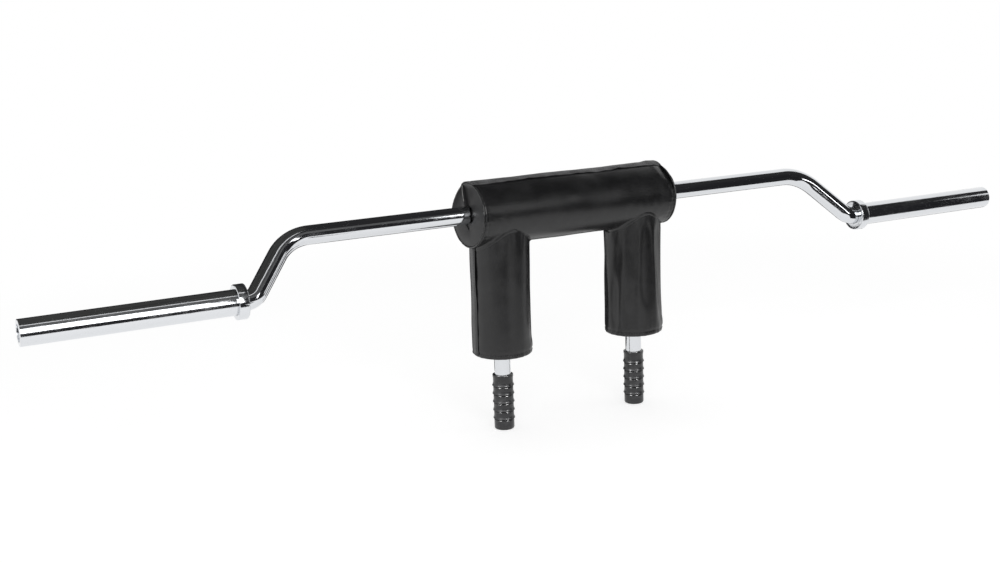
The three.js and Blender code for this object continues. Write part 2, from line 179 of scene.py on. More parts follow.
panel("sweep", (0, 0, -SWEEP_DROP), (SWEEP_REACH, 0, 0), (0, SWEEP_REACH, 0), sweep_paper)

CANOPY_GREY = "#3B3B3A"
CANOPY_DARK = "#2A2A2B"
FRONT_BLACK = "#232325"
SCRIM_GREY = "#5A5A5A"
STRIP_LIGHT = 4.0
CLOTH_FOLDS_PER_METRE = 3.0
CLOTH_HEIGHT = 2.45
FRONT_WALL = -2.5
BACK_WALL = 3.3


def studio_cloth(name, colour):
    """Dull cloth, mottled where it hangs in folds, so that what chrome shows of it isn't one tone."""
    material = blank(bpy.data.materials.new(name))
    folds = add_node(material, "TexNoise", {
        "Vector": add_node(material, "TexCoord").outputs["Object"],
        "Scale": CLOTH_FOLDS_PER_METRE, "Detail": 6.0, "Roughness": 0.7})
    depth = add_node(material, "MapRange", {
        "Value": folds, "From Min": 0.3, "From Max": 0.75, "To Min": 0.6, "To Max": 1.9})
    surface = add_node(material, "Emission", {"Color": linear(colour), "Strength": depth})
    add_node(material, "OutputMaterial", {"Surface": surface})
    return material


canopy_cloth = studio_cloth("grey canopy cloth, woven wool", CANOPY_GREY)
dark_canopy = studio_cloth("dark canopy cloth, woven wool", CANOPY_DARK)
front_cloth = studio_cloth("black cloth, woven wool", FRONT_BLACK)
scrim_cloth = studio_cloth("grey scrim, thin cotton", SCRIM_GREY)
strip_glow = blank(bpy.data.materials.new("strip light, white diffuser"))
strip_face = add_node(strip_glow, "Emission", {"Color": linear(WALL_WHITE), "Strength": STRIP_LIGHT})
add_node(strip_glow, "OutputMaterial", {"Surface": strip_face})
# Each cloth's reach along x, its reach along y or z, its height or its y, how it hangs, and its stuff.
CLOTHS = {
    "canopy_left": (-2.6, 0.0, -0.72, BACK_WALL, CLOTH_HEIGHT, "flat", canopy_cloth),
    "scrim_left": (-2.6, 0.0, FRONT_WALL + 0.05, -0.96, CLOTH_HEIGHT, "flat", scrim_cloth),
    "canopy_middle": (0.0, 1.35, -1.45, BACK_WALL, CLOTH_HEIGHT, "flat", dark_canopy),
    "scrim_middle": (0.0, 1.35, FRONT_WALL, -1.45, CLOTH_HEIGHT, "flat", scrim_cloth),
    "scrim_drop": (-0.12, 1.35, 1.95, CLOTH_HEIGHT, FRONT_WALL + 0.01, "upright", scrim_cloth),
    "canopy_right": (1.35, 4.6, FRONT_WALL, 0.0, CLOTH_HEIGHT, "flat", dark_canopy),
    "canopy_corner": (1.35, 1.6, 0.0, BACK_WALL, CLOTH_HEIGHT, "flat", dark_canopy),
    "wall_back": (-2.6, 1.75, 0.0, CLOTH_HEIGHT, BACK_WALL, "upright", dark_canopy),
    "wall_front": (-0.12, 5.2, 0.0, CLOTH_HEIGHT, FRONT_WALL, "upright", front_cloth),
    "skirting_front": (-3.2, -0.12, 0.0, 0.58, FRONT_WALL, "upright", front_cloth),
    "floor_left": (-4.2, -0.1, FRONT_WALL, -0.90, 0.002, "flat", front_cloth),
    "floor_right": (0.75, 5.2, FRONT_WALL, -0.50, 0.002, "flat", front_cloth),
    "floor_back": (-0.3, 3.0, 0.45, BACK_WALL, 0.002, "flat", front_cloth),
    "strip_light": (1.0, 1.28, 0.75, 2.15, FRONT_WALL + 0.02, "upright", strip_glow),
}
for name, (x0, x1, low, high, level, lie, material) in CLOTHS.items():
    x, middle, half = (x0 + x1) / 2, (low + high) / 2, (high - low) / 2
    if lie == "flat":
        cloth = panel(name, (x, middle, level), ((x1 - x0) / 2, 0, 0), (0, half, 0), material)
    else:
        cloth = panel(name, (x, level, middle), ((x1 - x0) / 2, 0, 0), (0, 0, half), material)
    for ray in ("camera", "diffuse", "shadow", "transmission"):
        setattr(cloth, "visible_" + ray, False)

# Each lamp's place, size, watts and target.
LAMPS = {
    "softbox_left": ((-1.25, -2.62, 1.42), (2.6, 2.0), 44, (-1.25, 0, 1.42)),
    "lamp_right": ((2.8, -1.2, 2.2), (1.2, 1.2), 5, (0, 0, 0.3)),
    "lamp_top": ((0.2, 0.8, 3.0), (2.4, 2.4), 9, (0, 0, 0.3)),
}


def area_lamp(name, place, size, watts, target):
    """A rectangular lamp that faces its target and isn't in view itself."""
    lamp_data = bpy.data.lights.new(name, "AREA")
    lamp_data.shape = "RECTANGLE"
    lamp_data.size, lamp_data.size_y = size
    lamp_data.energy = watts
    lamp = bpy.data.objects.new(name, lamp_data)
    lamp.location = place
    lamp.rotation_euler = (Vector(target) - Vector(place)).to_track_quat("-Z", "Y").to_euler()
    lamp.visible_camera = False
    scene.collection.objects.link(lamp)
    return lamp


for name, settings in LAMPS.items():
    area_lamp(name, *settings).visible_glossy = name == "softbox_left"


# ---- Shaft ----
# One 38 mm steel rod, cold bent twice on each side and hard chromed. Its ends are turned down to
# 28 mm journals inside the sleeves. The turned tips are bare steel on the real bar and show in the
# sleeves' end recesses; here they share the rod's chrome.
SHAFT_RADIUS = 0.019
CAMBER = 0.118
CAMBER_TILT = math.radians(34)
CAMBER_RUN = 0.1102
UPPER_BEND_RADIUS = 0.092
LOWER_BEND_RADIUS = 0.034
BEND_TO_COLLAR = 0.0008
BEND_STEPS = 18
SHAFT_SIDES = 72
SHOULDER_DEPTH = 0.005
JOURNAL_RADIUS = 0.014
GROOVE_RADIUS = 0.0131
JOURNAL_CHAMFER = 0.0012
CENTRE_DRILL_RADIUS = 0.003
CENTRE_DRILL_DEPTH = 0.004
TURNED_PLAY = 0.0003

neck_low, neck_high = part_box("neck_cover")
shaft_y = (neck_low.y + neck_high.y) / 2
shaft_z = (neck_low.z + neck_high.z) / 2
sleeve_low, sleeve_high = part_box("right_sleeve_tube")
sleeve_axis = (0, (sleeve_low.y + sleeve_high.y) / 2, (sleeve_low.z + sleeve_high.z) / 2)
collar_face = sleeve_low.x
sleeve_end = sleeve_high.x


def equal_rings(count, sides, start=0):
    """The point numbers of rings that follow each other, each with as many points."""
    return [range(start + i * sides, start + (i + 1) * sides) for i in range(count)]


def bridged(rings, wrap=True):
    """Faces between each ring of point numbers and the next. A ring of one point closes the end."""
    faces = []
    for first, second in zip(rings, rings[1:]):
        sides = max(len(first), len(second))
        for i in range(sides if wrap else sides - 1):
            j = (i + 1) % sides
            if len(first) == 1:
                faces.append((first[0], second[j], second[i]))
            elif len(second) == 1:
                faces.append((first[i], first[j], second[0]))
            else:
                faces.append((first[i], first[j], second[j], second[i]))
    return faces


def circle(middle, u, v, radius, sides):
    turns = [2 * math.pi * i / sides for i in range(sides)]
    return [middle + (u * math.cos(turn) + v * math.sin(turn)) * radius for turn in turns]


def turned(outline, sides, axis, place, flip=False):
    """Points and faces of an outline of (along, radius) turned about X or Z. A radius of 0 closes it."""
    points, rings = [], []
    for along, radius in outline:
        steps = sides if radius else 1
        rings.append(range(len(points), len(points) + steps))
        for i in range(steps):
            angle = 2 * math.pi * i / sides
            a, u, v = -along if flip else along, radius * math.cos(angle), radius * math.sin(angle)
            points.append(Vector(place) + Vector((a, u, v) if axis == "X" else (u, v, a)))
    faces = bridged(rings)
    if (axis == "X") == flip:
        faces = [face[::-1] for face in faces]
    return points, faces


def add_on(points, faces, more_points, more_faces):
    """Adds one shape's points and faces to another's."""
    faces += [tuple(i + len(points) for i in face) for face in more_faces]
    points += more_points


def finish_mesh(piece, material, sharp_degrees=35):
    """Turns the faces outward, shades them smooth up to a sharp edge, and gives the material."""
    shape = bmesh.new()
    shape.from_mesh(piece.data)
    bmesh.ops.remove_doubles(shape, verts=shape.verts, dist=1e-6)
    bmesh.ops.recalc_face_normals(shape, faces=shape.faces)
    shape.to_mesh(piece.data)
    shape.free()
    for polygon in piece.data.polygons:
        polygon.use_smooth = True
    piece.data.set_sharp_from_angle(angle=math.radians(sharp_degrees))
    piece.data.materials.append(material)


incline_reach = math.sqrt(CAMBER_RUN ** 2 + CAMBER ** 2 - 2 * LOWER_BEND_RADIUS * CAMBER)
half_tangent = CAMBER / (CAMBER_RUN + incline_reach)
slope = 2 * math.atan(half_tangent)
upper_corner = collar_face - BEND_TO_COLLAR - CAMBER_RUN
lower_corner = collar_face - BEND_TO_COLLAR - LOWER_BEND_RADIUS * half_tangent
stops = [(0.0, 0.0, 0.0)]
for corner, drop, radius, start, sign in (
    (upper_corner, 0.0, UPPER_BEND_RADIUS, 0.0, 1),
    (lower_corner, CAMBER, LOWER_BEND_RADIUS, slope, -1),
):
    reach = radius * half_tangent
    for i in range(BEND_STEPS + 1):
        angle = start + sign * slope * i / BEND_STEPS
        stops.append((
            corner - reach * math.cos(start) + sign * radius * (math.sin(angle) - math.sin(start)),
            drop - reach * math.sin(start) + sign * radius * (math.cos(start) - math.cos(angle)),
            angle,
        ))
stops.append((collar_face + SHOULDER_DEPTH, CAMBER, 0.0))
stops = [(-x, drop, -angle) for x, drop, angle in reversed(stops[1:])] + stops
camber_down = Vector((0, -math.sin(CAMBER_TILT), -math.cos(CAMBER_TILT)))
camber_side = Vector((1, 0, 0)).cross(camber_down)
shaft_points = []
for x, drop, angle in stops:
    middle = Vector((x, shaft_y, shaft_z)) + camber_down * drop
    across = camber_down * math.cos(angle) - Vector((math.sin(angle), 0, 0))
    shaft_points += circle(middle, across, camber_side, SHAFT_RADIUS, SHAFT_SIDES)
shaft_faces = bridged(equal_rings(len(stops), SHAFT_SIDES))

ring_low, ring_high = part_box("right_snap_ring")
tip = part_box("shaft")[1].x
journal = [
    (collar_face + SHOULDER_DEPTH, SHAFT_RADIUS),
    (collar_face + SHOULDER_DEPTH, JOURNAL_RADIUS),
    (ring_low.x - TURNED_PLAY, JOURNAL_RADIUS),
    (ring_low.x - TURNED_PLAY, GROOVE_RADIUS),
    (ring_high.x + TURNED_PLAY, GROOVE_RADIUS),
    (ring_high.x + TURNED_PLAY, JOURNAL_RADIUS),
    (tip - JOURNAL_CHAMFER, JOURNAL_RADIUS),
    (tip, JOURNAL_RADIUS - JOURNAL_CHAMFER),
    (tip, CENTRE_DRILL_RADIUS),
    (tip - CENTRE_DRILL_DEPTH, 0),
]
for flip in (False, True):
    add_on(shaft_points, shaft_faces, *turned(journal, SHAFT_SIDES, "X", sleeve_axis, flip))


def object_place(material, per_metre):
    """The surface's own coordinates in metres, times the repeats per metre along each axis."""
    place = add_node(material, "TexCoord").outputs["Object"]
    return add_node(material, "Mapping", {"Vector": place, "Scale": per_metre})


def chrome_material(name, colour, roughness, ripple_mm, haze):
    """Hard chrome over ground steel: a clear mirror with a slight ripple left by grinding along the
    bar, orange peel some 5 mm across, and faint haze, 15 to 30 mm across, where plates and hands
    have rubbed it. Its IOR stays a metal's own."""
    material = blank(bpy.data.materials.new(name))
    across = 1000 / ripple_mm
    ripple = add_node(material, "TexNoise", {
        "Vector": object_place(material, (8, across, across)), "Scale": 1.0, "Detail": 2.0})
    peel = add_node(material, "TexNoise", {
        "Vector": object_place(material, (160, 220, 220)), "Scale": 1.0, "Detail": 3.0})
    rub = add_node(material, "TexNoise", {
        "Vector": object_place(material, (30, 70, 70)), "Scale": 1.0, "Detail": 5.0, "Roughness": 0.7})
    rough = add_node(material, "MapRange", {
        "Value": rub, "From Min": 0.45, "From Max": 0.75,
        "To Min": roughness, "To Max": roughness + haze})
    first = add_node(material, "Bump", {"Height": ripple, "Strength": 0.35, "Distance": 0.0004})
    second = add_node(material, "Bump", {
        "Height": peel, "Strength": 0.3, "Distance": 0.00006, "Normal": first})
    shader = add_node(material, "BsdfPrincipled", {
        "Base Color": linear(colour), "Metallic": 1.0, "Roughness": rough, "Normal": second})
    add_node(material, "OutputMaterial", {"Surface": shader})
    return material


SHAFT_CHROME = "#D9DBDE"
shaft_chrome = chrome_material("hard chrome on bent rod", SHAFT_CHROME, 0.07, 16, 0.10)
shaft = mesh_piece("bent_shaft", shaft_points, shaft_faces)
finish_mesh(shaft, shaft_chrome)
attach(shaft, "frame")
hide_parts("shaft")


# ---- Plate sleeves and collars ----
# Steel tube, 50 mm across, hard chromed, with a plain ring collar pressed on its inner end. Both
# turn on bronze bushings. The edges are broken with a small radius, and plates have hazed the top.
SLEEVE_RADIUS = 0.025
SLEEVE_BORE = 0.0165
SLEEVE_RELIEF = 0.015
SLEEVE_EDGE = 0.0018
BORE_EDGE = 0.0006
SLEEVE_SIDES = 96
SLEEVE_ENTRY = SHAFT_RADIUS + 0.0007
COLLAR_RADIUS = 0.034
COLLAR_WIDTH = 0.020
COLLAR_EDGE = 0.0022
COLLAR_SEAT = 0.0253
EDGE_STEPS = 4


def rounded(corner, before, after, radius, steps=EDGE_STEPS):
    """The points of an outline's corner broken with a radius, between the points on either side."""
    c, b, a = Vector(corner), Vector(before), Vector(after)
    start, end = c + (b - c).normalized() * radius, c + (a - c).normalized() * radius
    shares = [i / steps for i in range(steps + 1)]
    return [tuple((1 - t) ** 2 * start + 2 * t * (1 - t) * c + t ** 2 * end) for t in shares]


SLEEVE_CHROME = "#DCDEE1"
sleeve_chrome = chrome_material("hard chrome on plate sleeve", SLEEVE_CHROME, 0.08, 13, 0.16)
collar_chrome = chrome_material("hard chrome on ring collar", SLEEVE_CHROME, 0.10, 9, 0.20)
bushing_low, bushing_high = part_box("right_inner_bushing")
relief_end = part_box("right_outer_bushing")[0].x - TURNED_PLAY
relief_start = bushing_high.x + TURNED_PLAY
rim, bore_rim = (sleeve_end, SLEEVE_RADIUS), (sleeve_end, SLEEVE_BORE)
sleeve_outline = [(collar_face, SLEEVE_ENTRY), (collar_face, SLEEVE_RADIUS)]
sleeve_outline += rounded(rim, (collar_face, SLEEVE_RADIUS), bore_rim, SLEEVE_EDGE)
sleeve_outline += rounded(bore_rim, rim, (collar_face, SLEEVE_BORE), BORE_EDGE)
sleeve_outline += [
    (relief_end, SLEEVE_BORE),
    (relief_end, SLEEVE_RELIEF),
    (relief_start, SLEEVE_RELIEF),
    (relief_start, SLEEVE_BORE),
    (bushing_low.x, SLEEVE_BORE),
    (bushing_low.x, SLEEVE_ENTRY),
    (collar_face, SLEEVE_ENTRY),
]
inner, outer = collar_face, collar_face + COLLAR_WIDTH
corners = [
    (inner, COLLAR_SEAT), (inner, COLLAR_RADIUS), (outer, COLLAR_RADIUS), (outer, COLLAR_SEAT)]
collar_outline = corners[:1]
collar_outline += rounded(corners[1], corners[0], corners[2], COLLAR_EDGE)
collar_outline += rounded(corners[2], corners[1], corners[3], COLLAR_EDGE)
collar_outline += [corners[3], corners[0]]
for side, flip in (("right", False), ("left", True)):
    shape = turned(sleeve_outline, SLEEVE_SIDES, "X", sleeve_axis, flip)
    tube = mesh_piece(side + "_plate_sleeve", *shape)
    finish_mesh(tube, sleeve_chrome)
    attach(tube, side + "_sleeve")
    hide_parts(side + "_sleeve_tube")

    shape = turned(collar_outline, SLEEVE_SIDES, "X", sleeve_axis, flip)
    collar = mesh_piece(side + "_ring_collar", *shape)
    finish_mesh(collar, collar_chrome)
    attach(collar, side + "_sleeve")
    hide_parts(side + "_collar")


# ---- Handle tubes ----
# Steel tube, 35 mm across with a 3 mm wall, coped to the underside of the shaft and welded there,
# then chromed with it. Only a hand's breadth shows between each pad and its grip.
HANDLE_RADIUS = 0.0175
HANDLE_BORE = 0.0145
HANDLE_SIDES = 72
COPE_GAP = 0.0003
handle_chrome = chrome_material("hard chrome on handle tube", SHAFT_CHROME, 0.08, 12, 0.10)
for side in ("left", "right"):
    low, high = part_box(side + "_handle_tube")
    outline = [
        (low.z, HANDLE_BORE), (low.z, HANDLE_RADIUS), (high.z, HANDLE_RADIUS), (high.z, HANDLE_BORE),
        (low.z, HANDLE_BORE),
    ]
    place = ((low.x + high.x) / 2, (low.y + high.y) / 2, 0)
    points, faces = turned(outline, HANDLE_SIDES, "Z", place)
    for p in points:
        if p.z > (low.z + high.z) / 2:
            p.z = shaft_z - math.sqrt((SHAFT_RADIUS + COPE_GAP) ** 2 - (p.y - shaft_y) ** 2)
    tube = mesh_piece(side + "_chromed_handle", points, faces)
    finish_mesh(tube, handle_chrome)
    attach(tube, "frame")
    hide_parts(side + "_handle_tube")


# ---- Bearings ----
# Sintered bronze bushings, ground steel washers and phosphated snap rings, kept as they were
# built. Only a snap ring and the rim of an end washer show, deep in each sleeve's end.
def plain_metal(name, colour, roughness, grain_mm, mottle):
    """A machined metal whose tool marks run round it, with a slight mottle from oil, 7 mm across."""
    material = blank(bpy.data.materials.new(name))
    marks = add_node(material, "TexNoise", {
        "Vector": object_place(material, (1000 / grain_mm, 60, 60)), "Scale": 1.0, "Detail": 2.0})
    oil = add_node(material, "TexNoise", {
        "Vector": object_place(material, (140, 140, 140)), "Scale": 1.0, "Detail": 4.0})
    tone = add_node(material, "Mix", {0: oil, 6: linear(colour), 7: linear(mottle)}, data_type="RGBA")
    bump = add_node(material, "Bump", {"Height": marks, "Strength": 0.3, "Distance": 0.0001})
    shader = add_node(material, "BsdfPrincipled", {
        "Base Color": tone.outputs[2], "Metallic": 1.0, "Roughness": roughness, "Normal": bump})
    add_node(material, "OutputMaterial", {"Surface": shader})
    return material


bushing_bronze = plain_metal("sintered bronze, oiled", "#B08A4E", 0.42, 0.6, "#7C5F36")
washer_steel = plain_metal("ground steel washer", "#9A9CA0", 0.35, 0.4, "#6E7074")
ring_steel = plain_metal("phosphated spring steel", "#4C4A4C", 0.45, 0.8, "#2E2C2E")
for side in ("left", "right"):
    for node_name, material in (
        ("_inner_bushing", bushing_bronze), ("_outer_bushing", bushing_bronze),
        ("_thrust_washer", washer_steel), ("_end_washer", washer_steel), ("_snap_ring", ring_steel),
    ):
        node = frame["nodes"][side + node_name]
        node.data.materials.clear()
        node.data.materials.append(material)


# ---- Grips ----
# Moulded black rubber socks, pushed on from below: closed bottom, five rings, each a flared lip over
# the rounded shoulder of the next length, and a rolled top. Two tall strip lamps glint on the shoulders.
GRIP_RADIUS = 0.0215
GRIP_RIB_RISE = 0.002
GRIP_LENGTH = 0.121
GRIP_RIB_COUNT = 5
GRIP_RIB_PITCH = 0.0182
GRIP_SHOULDER = 0.0044
SHOULDER_SPAN = math.radians(60)
LIP_DEPTH = 0.0014
GRIP_FLARE = 0.0070
FLARE_CURVE = 1.6
GRIP_EDGE = 0.004
GRIP_SOCKET = 0.0178
GRIP_FLOOR = 0.004
GRIP_SIDES = 96
RIB_STEPS = 6
TOP_RADIUS = GRIP_RADIUS + 0.00075
TOP_START = GRIP_LENGTH - 0.0074
TOP_FULL = GRIP_LENGTH - 0.005
TOP_EDGE = 0.0014


def rubber_material(name, colour, roughness):
    """Moulded rubber: satin black with a fine mould texture, drawn 1 mm across so that it shows,
    and a paler bloom of dust in patches of 10 to 20 mm."""
    material = blank(bpy.data.materials.new(name))
    pores = add_node(material, "TexNoise", {
        "Vector": object_place(material, (900, 900, 900)), "Scale": 1.0, "Detail": 2.0})
    dust = add_node(material, "TexNoise", {
        "Vector": object_place(material, (60, 60, 110)), "Scale": 1.0, "Detail": 5.0, "Roughness": 0.65})
    dust_share = add_node(material, "MapRange", {
        "Value": dust, "From Min": 0.5, "From Max": 0.8, "To Min": 0.0, "To Max": 0.2})
    tone = add_node(
        material, "Mix", {0: dust_share, 6: linear(colour), 7: linear("#3A3A3B")}, data_type="RGBA")
    gloss = add_node(material, "MapRange", {
        "Value": dust, "From Min": 0.3, "From Max": 0.75,
        "To Min": roughness, "To Max": roughness + 0.10})
    bump = add_node(material, "Bump", {"Height": pores, "Strength": 0.15, "Distance": 0.0001})
    shader = add_node(material, "BsdfPrincipled", {
        "Base Color": tone.outputs[2], "Roughness": gloss, "IOR": 1.5, "Normal": bump})
    add_node(material, "OutputMaterial", {"Surface": shader})
    return material


grip_rubber = rubber_material("moulded rubber, satin", "#0E0E0F", 0.22)
grip_outline = [(0, 0)]
grip_outline += rounded((0, GRIP_RADIUS), (0, 0), (GRIP_LENGTH, GRIP_RADIUS), GRIP_EDGE)
first_rib = (GRIP_LENGTH - (GRIP_RIB_COUNT - 1) * GRIP_RIB_PITCH) / 2
for i in range(GRIP_RIB_COUNT):
    middle = first_rib + i * GRIP_RIB_PITCH
    for step in range(RIB_STEPS + 1):
        turn = SHOULDER_SPAN * step / RIB_STEPS
        grip_outline.append((
            middle - LIP_DEPTH - GRIP_SHOULDER * (math.sin(SHOULDER_SPAN) - math.sin(turn)),
            GRIP_RADIUS - GRIP_SHOULDER * (1 - math.cos(turn))))
    grip_outline.append((middle - LIP_DEPTH * 0.7, GRIP_RADIUS + GRIP_RIB_RISE * 0.7))
    grip_outline.append((middle - LIP_DEPTH * 0.4, GRIP_RADIUS + GRIP_RIB_RISE))
    for step in range(RIB_STEPS + 1):
        share = step / RIB_STEPS
        rise = GRIP_RIB_RISE * (1 - share) ** FLARE_CURVE
        grip_outline.append((middle + GRIP_FLARE * share, GRIP_RADIUS + rise))
grip_outline += [(TOP_START, GRIP_RADIUS), (TOP_FULL, TOP_RADIUS)]
grip_outline += rounded(
    (GRIP_LENGTH, TOP_RADIUS), (TOP_FULL, TOP_RADIUS), (GRIP_LENGTH, GRIP_SOCKET), TOP_EDGE)
grip_outline += [(GRIP_LENGTH, GRIP_SOCKET), (GRIP_FLOOR, GRIP_SOCKET), (GRIP_FLOOR, 0)]
grip_pair = bpy.data.collections.new("grips")
for side in ("left", "right"):
    low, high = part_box(side + "_grip")
    place = ((low.x + high.x) / 2, (low.y + high.y) / 2, low.z)
    grip = mesh_piece(side + "_ribbed_grip", *turned(grip_outline, GRIP_SIDES, "Z", place))
    finish_mesh(grip, grip_rubber)
    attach(grip, "frame")
    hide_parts(side + "_grip")
    grip_pair.objects.link(grip)

GLINT_WATTS = 520
GLINT_SIZE = (0.7, 2.4)
GLINT_HEIGHT = 2.5
for name, x, y in (("grip_glint_left", -2.12, -0.55), ("grip_glint_right", 0.42, -2.15)):
    lamp = area_lamp(name, (x, y, GLINT_HEIGHT), GLINT_SIZE, GLINT_WATTS, (0, 0, GLINT_HEIGHT))
    lamp.light_linking.receiver_collection = grip_pair
flagged_grips = bpy.data.collections.new("grips shaded from the softbox")
for grip in grip_pair.objects:
    flagged_grips.objects.link(grip)
for member in flagged_grips.collection_objects:
    member.light_linking.link_state = "EXCLUDE"
bpy.data.objects["softbox_left"].light_linking.receiver_collection = flagged_grips


# ---- Neck pad ----
# A firm foam roll in black vinyl round the shaft. Each end of the vinyl tube is piped to an end
# disc, whose loose hole and slit let the pad be opened. A hook and loop flap closes it along the top.
NECK_HALF = neck_high.x - 0.0015
NECK_DISH = 0.0055
NECK_BODY = 0.0680
NECK_SHOULDER = 0.0050
NECK_SWELL = 0.0032
NECK_SIDES = 112
NECK_CELLS = 104
NECK_CAST = 0.12
NECK_SLOW_WAVE = 0.0011
NECK_FINE_WAVE = 0.0005
END_GATHER = 0.0013
END_GATHER_REACH = 0.030
END_FOLD = 0.0008
END_FOLD_INSET = 0.0105
END_FOLD_SPREAD = 0.004
END_FLAT = 0.008
ARM_GATHER = 0.0008
ARM_GATHER_REACH = 0.035
CORNER_SLUMP = 0.0076
CORNER_SLUMP_REACH = 0.028
CORNER_RISE = 0.0024
CORNER_RISE_MIDDLE = 0.221
CORNER_RISE_SPREAD = 0.026
CLOTH_FRAMES = 20
CLOTH_PRESSURE = 4.0
CLOTH_STIFFNESS = 2.0
SEAM_HOLD = 0.010
ARM_MIDDLE = 0.165
ARM_SEAM_RADIUS = 0.0635


def neck_axis(x):
    return Vector((x, shaft_y, shaft_z))


def around(x, radius, degrees):
    """A point round the neck pad's axis, at degrees from the top toward the back."""
    turn = math.radians(degrees)
    return Vector((x, shaft_y + radius * math.sin(turn), shaft_z + radius * math.cos(turn)))


def neck_angle(point):
    """The degrees that around would take for a point."""
    return math.degrees(math.atan2(point.y - shaft_y, point.z - shaft_z))


def bump_at(value, middle, spread):
    """1 at the middle, falling smoothly to 0 at the spread on either side."""
    share = min(abs(value - middle) / spread, 1.0)
    return (1 - share * share) ** 2


def drift(x, y, z):
    """Smooth noise between -1 and 1: what stuffing, cutting and sewing leave uneven."""
    return noise.noise(Vector((x, y, z)))


def blown_up(piece, hold, swell):
    """Fills a cover with foam: cloth under pressure, held at its seams, and never moved further
    than the swell. The result is left on the piece as one subdivided mesh."""
    def evaluated():
        return piece.evaluated_get(bpy.context.evaluated_depsgraph_get())

    start = [v.co.copy() for v in piece.data.vertices]
    group = piece.vertex_groups.new(name="seams")
    for vertex in piece.data.vertices:
        group.add([vertex.index], hold(vertex.co), "REPLACE")
    cloth = piece.modifiers.new("vinyl", "CLOTH")
    cloth.settings.use_pressure = True
    cloth.settings.uniform_pressure_force = CLOTH_PRESSURE
    cloth.settings.effector_weights.gravity = 0
    cloth.settings.vertex_group_mass = "seams"
    cloth.settings.bending_stiffness = CLOTH_STIFFNESS
    cloth.point_cache.frame_start = 1
    cloth.point_cache.frame_end = CLOTH_FRAMES
    for step in range(1, CLOTH_FRAMES + 1):
        scene.frame_set(step)
    moved = [v.co.copy() for v in evaluated().to_mesh().vertices]
    evaluated().to_mesh_clear()
    piece.modifiers.remove(cloth)
    scene.frame_set(1)
    for vertex, before, after in zip(piece.data.vertices, start, moved):
        shift = after - before
        vertex.co = before + shift * min(1.0, swell / max(shift.length, 1e-9))
    divide = piece.modifiers.new("smooth vinyl", "SUBSURF")
    divide.levels = 1
    divide.render_levels = 1
    fine = bpy.data.meshes.new_from_object(evaluated())
    piece.modifiers.clear()
    piece.vertex_groups.clear()
    piece.data = fine


def neck_hold(point):
    end = bump_at(abs(point.x), NECK_HALF, SEAM_HOLD) if abs(point.x) < NECK_HALF else 1.0
    reach = math.hypot(abs(point.x) - ARM_MIDDLE, point.y - shaft_y)
    seam = bump_at(reach, ARM_SEAM_RADIUS, SEAM_HOLD) if point.z < shaft_z else 0.0
    return max(end, seam)


# The end face runs out from the middle, dished by a share of the dish at each radius.
rows = [(-NECK_HALF + NECK_DISH * share, radius) for share, radius in (
    (1.0, 0.0), (1.0, 0.012), (1.0, 0.024), (1.0, 0.034), (1.0, 0.042), (0.8, 0.054))]
rows += rounded((-NECK_HALF, NECK_BODY), (-NECK_HALF, 0), (0, NECK_BODY), NECK_SHOULDER, 3)
end_rows = [(-x, radius) for x, radius in reversed(rows)]
straight = NECK_HALF - NECK_SHOULDER
for i in range(1, NECK_CELLS):
    rows.append((-straight + straight * 2 * i / NECK_CELLS, NECK_BODY))
neck = mesh_piece("neck_pad_cover", *turned(rows + end_rows, NECK_SIDES, "X", neck_axis(0)))
blown_up(neck, neck_hold, NECK_SWELL)


def neck_relief(point):
    """How far the vinyl stands off its smooth form: slow waves in the foam, gathers at the ends and
    at the arms, and the slumped upper front corner at the right end."""
    reach, degrees = abs(point.x), neck_angle(point)
    off_axis = math.hypot(point.y - shaft_y, point.z - shaft_z)
    if reach > NECK_HALF - 0.001 and off_axis < NECK_BODY - END_FLAT:
        return 0.0
    slow = drift(point.x * 9, point.y * 16, point.z * 16) * NECK_SLOW_WAVE
    slow += drift(point.x * 26 + 7, point.y * 30, point.z * 30) * NECK_FINE_WAVE
    near_end = max(0.0, 1 - (NECK_HALF - reach) / END_GATHER_REACH)
    gather = drift(point.x * 12, degrees * 0.16, 3.1) * END_GATHER * near_end ** 1.5
    fold = 0.6 + 0.4 * math.sin(math.radians(degrees * 3 + 40))
    fold *= -END_FOLD * bump_at(reach, NECK_HALF - END_FOLD_INSET, END_FOLD_SPREAD)
    gap = abs(math.hypot(reach - ARM_MIDDLE, point.y - shaft_y) - ARM_SEAM_RADIUS)
    arm = 0.0
    if point.z < shaft_z and gap < ARM_GATHER_REACH:
        arm = drift(point.x * 60, point.y * 60, point.z * 25) * ARM_GATHER
        arm *= (1 - gap / ARM_GATHER_REACH) ** 2
    slump = 0.0
    if point.x > 0:
        slump = -CORNER_SLUMP * bump_at(degrees, -44, 44)
        slump *= max(0.0, 1 - (NECK_HALF - reach) / CORNER_SLUMP_REACH) ** 1.4
        rise = bump_at(point.x, CORNER_RISE_MIDDLE, CORNER_RISE_SPREAD)
        slump += CORNER_RISE * bump_at(degrees, 12, 60) * rise
    return slow + gather + fold + arm + slump


def stand_off(piece, relief, middle):
    """Moves each point of a piece away from its middle line by the relief."""
    for vertex in piece.data.vertices:
        out = vertex.co - middle(vertex.co)
        if out.length > 1e-6:
            vertex.co += out.normalized() * relief(vertex.co)


def skin_of(piece):
    shape = bmesh.new()
    shape.from_mesh(piece.data)
    tree = BVHTree.FromBMesh(shape)
    shape.free()
    return tree


def skin_reach(skin, start, axis):
    """How far from a point of its axis a cover's skin lies, looking in from start."""
    hit = skin.ray_cast(start, (axis - start).normalized())[0]
    return (hit - axis).length if hit else None


stand_off(neck, neck_relief, lambda p: neck_axis(p.x))


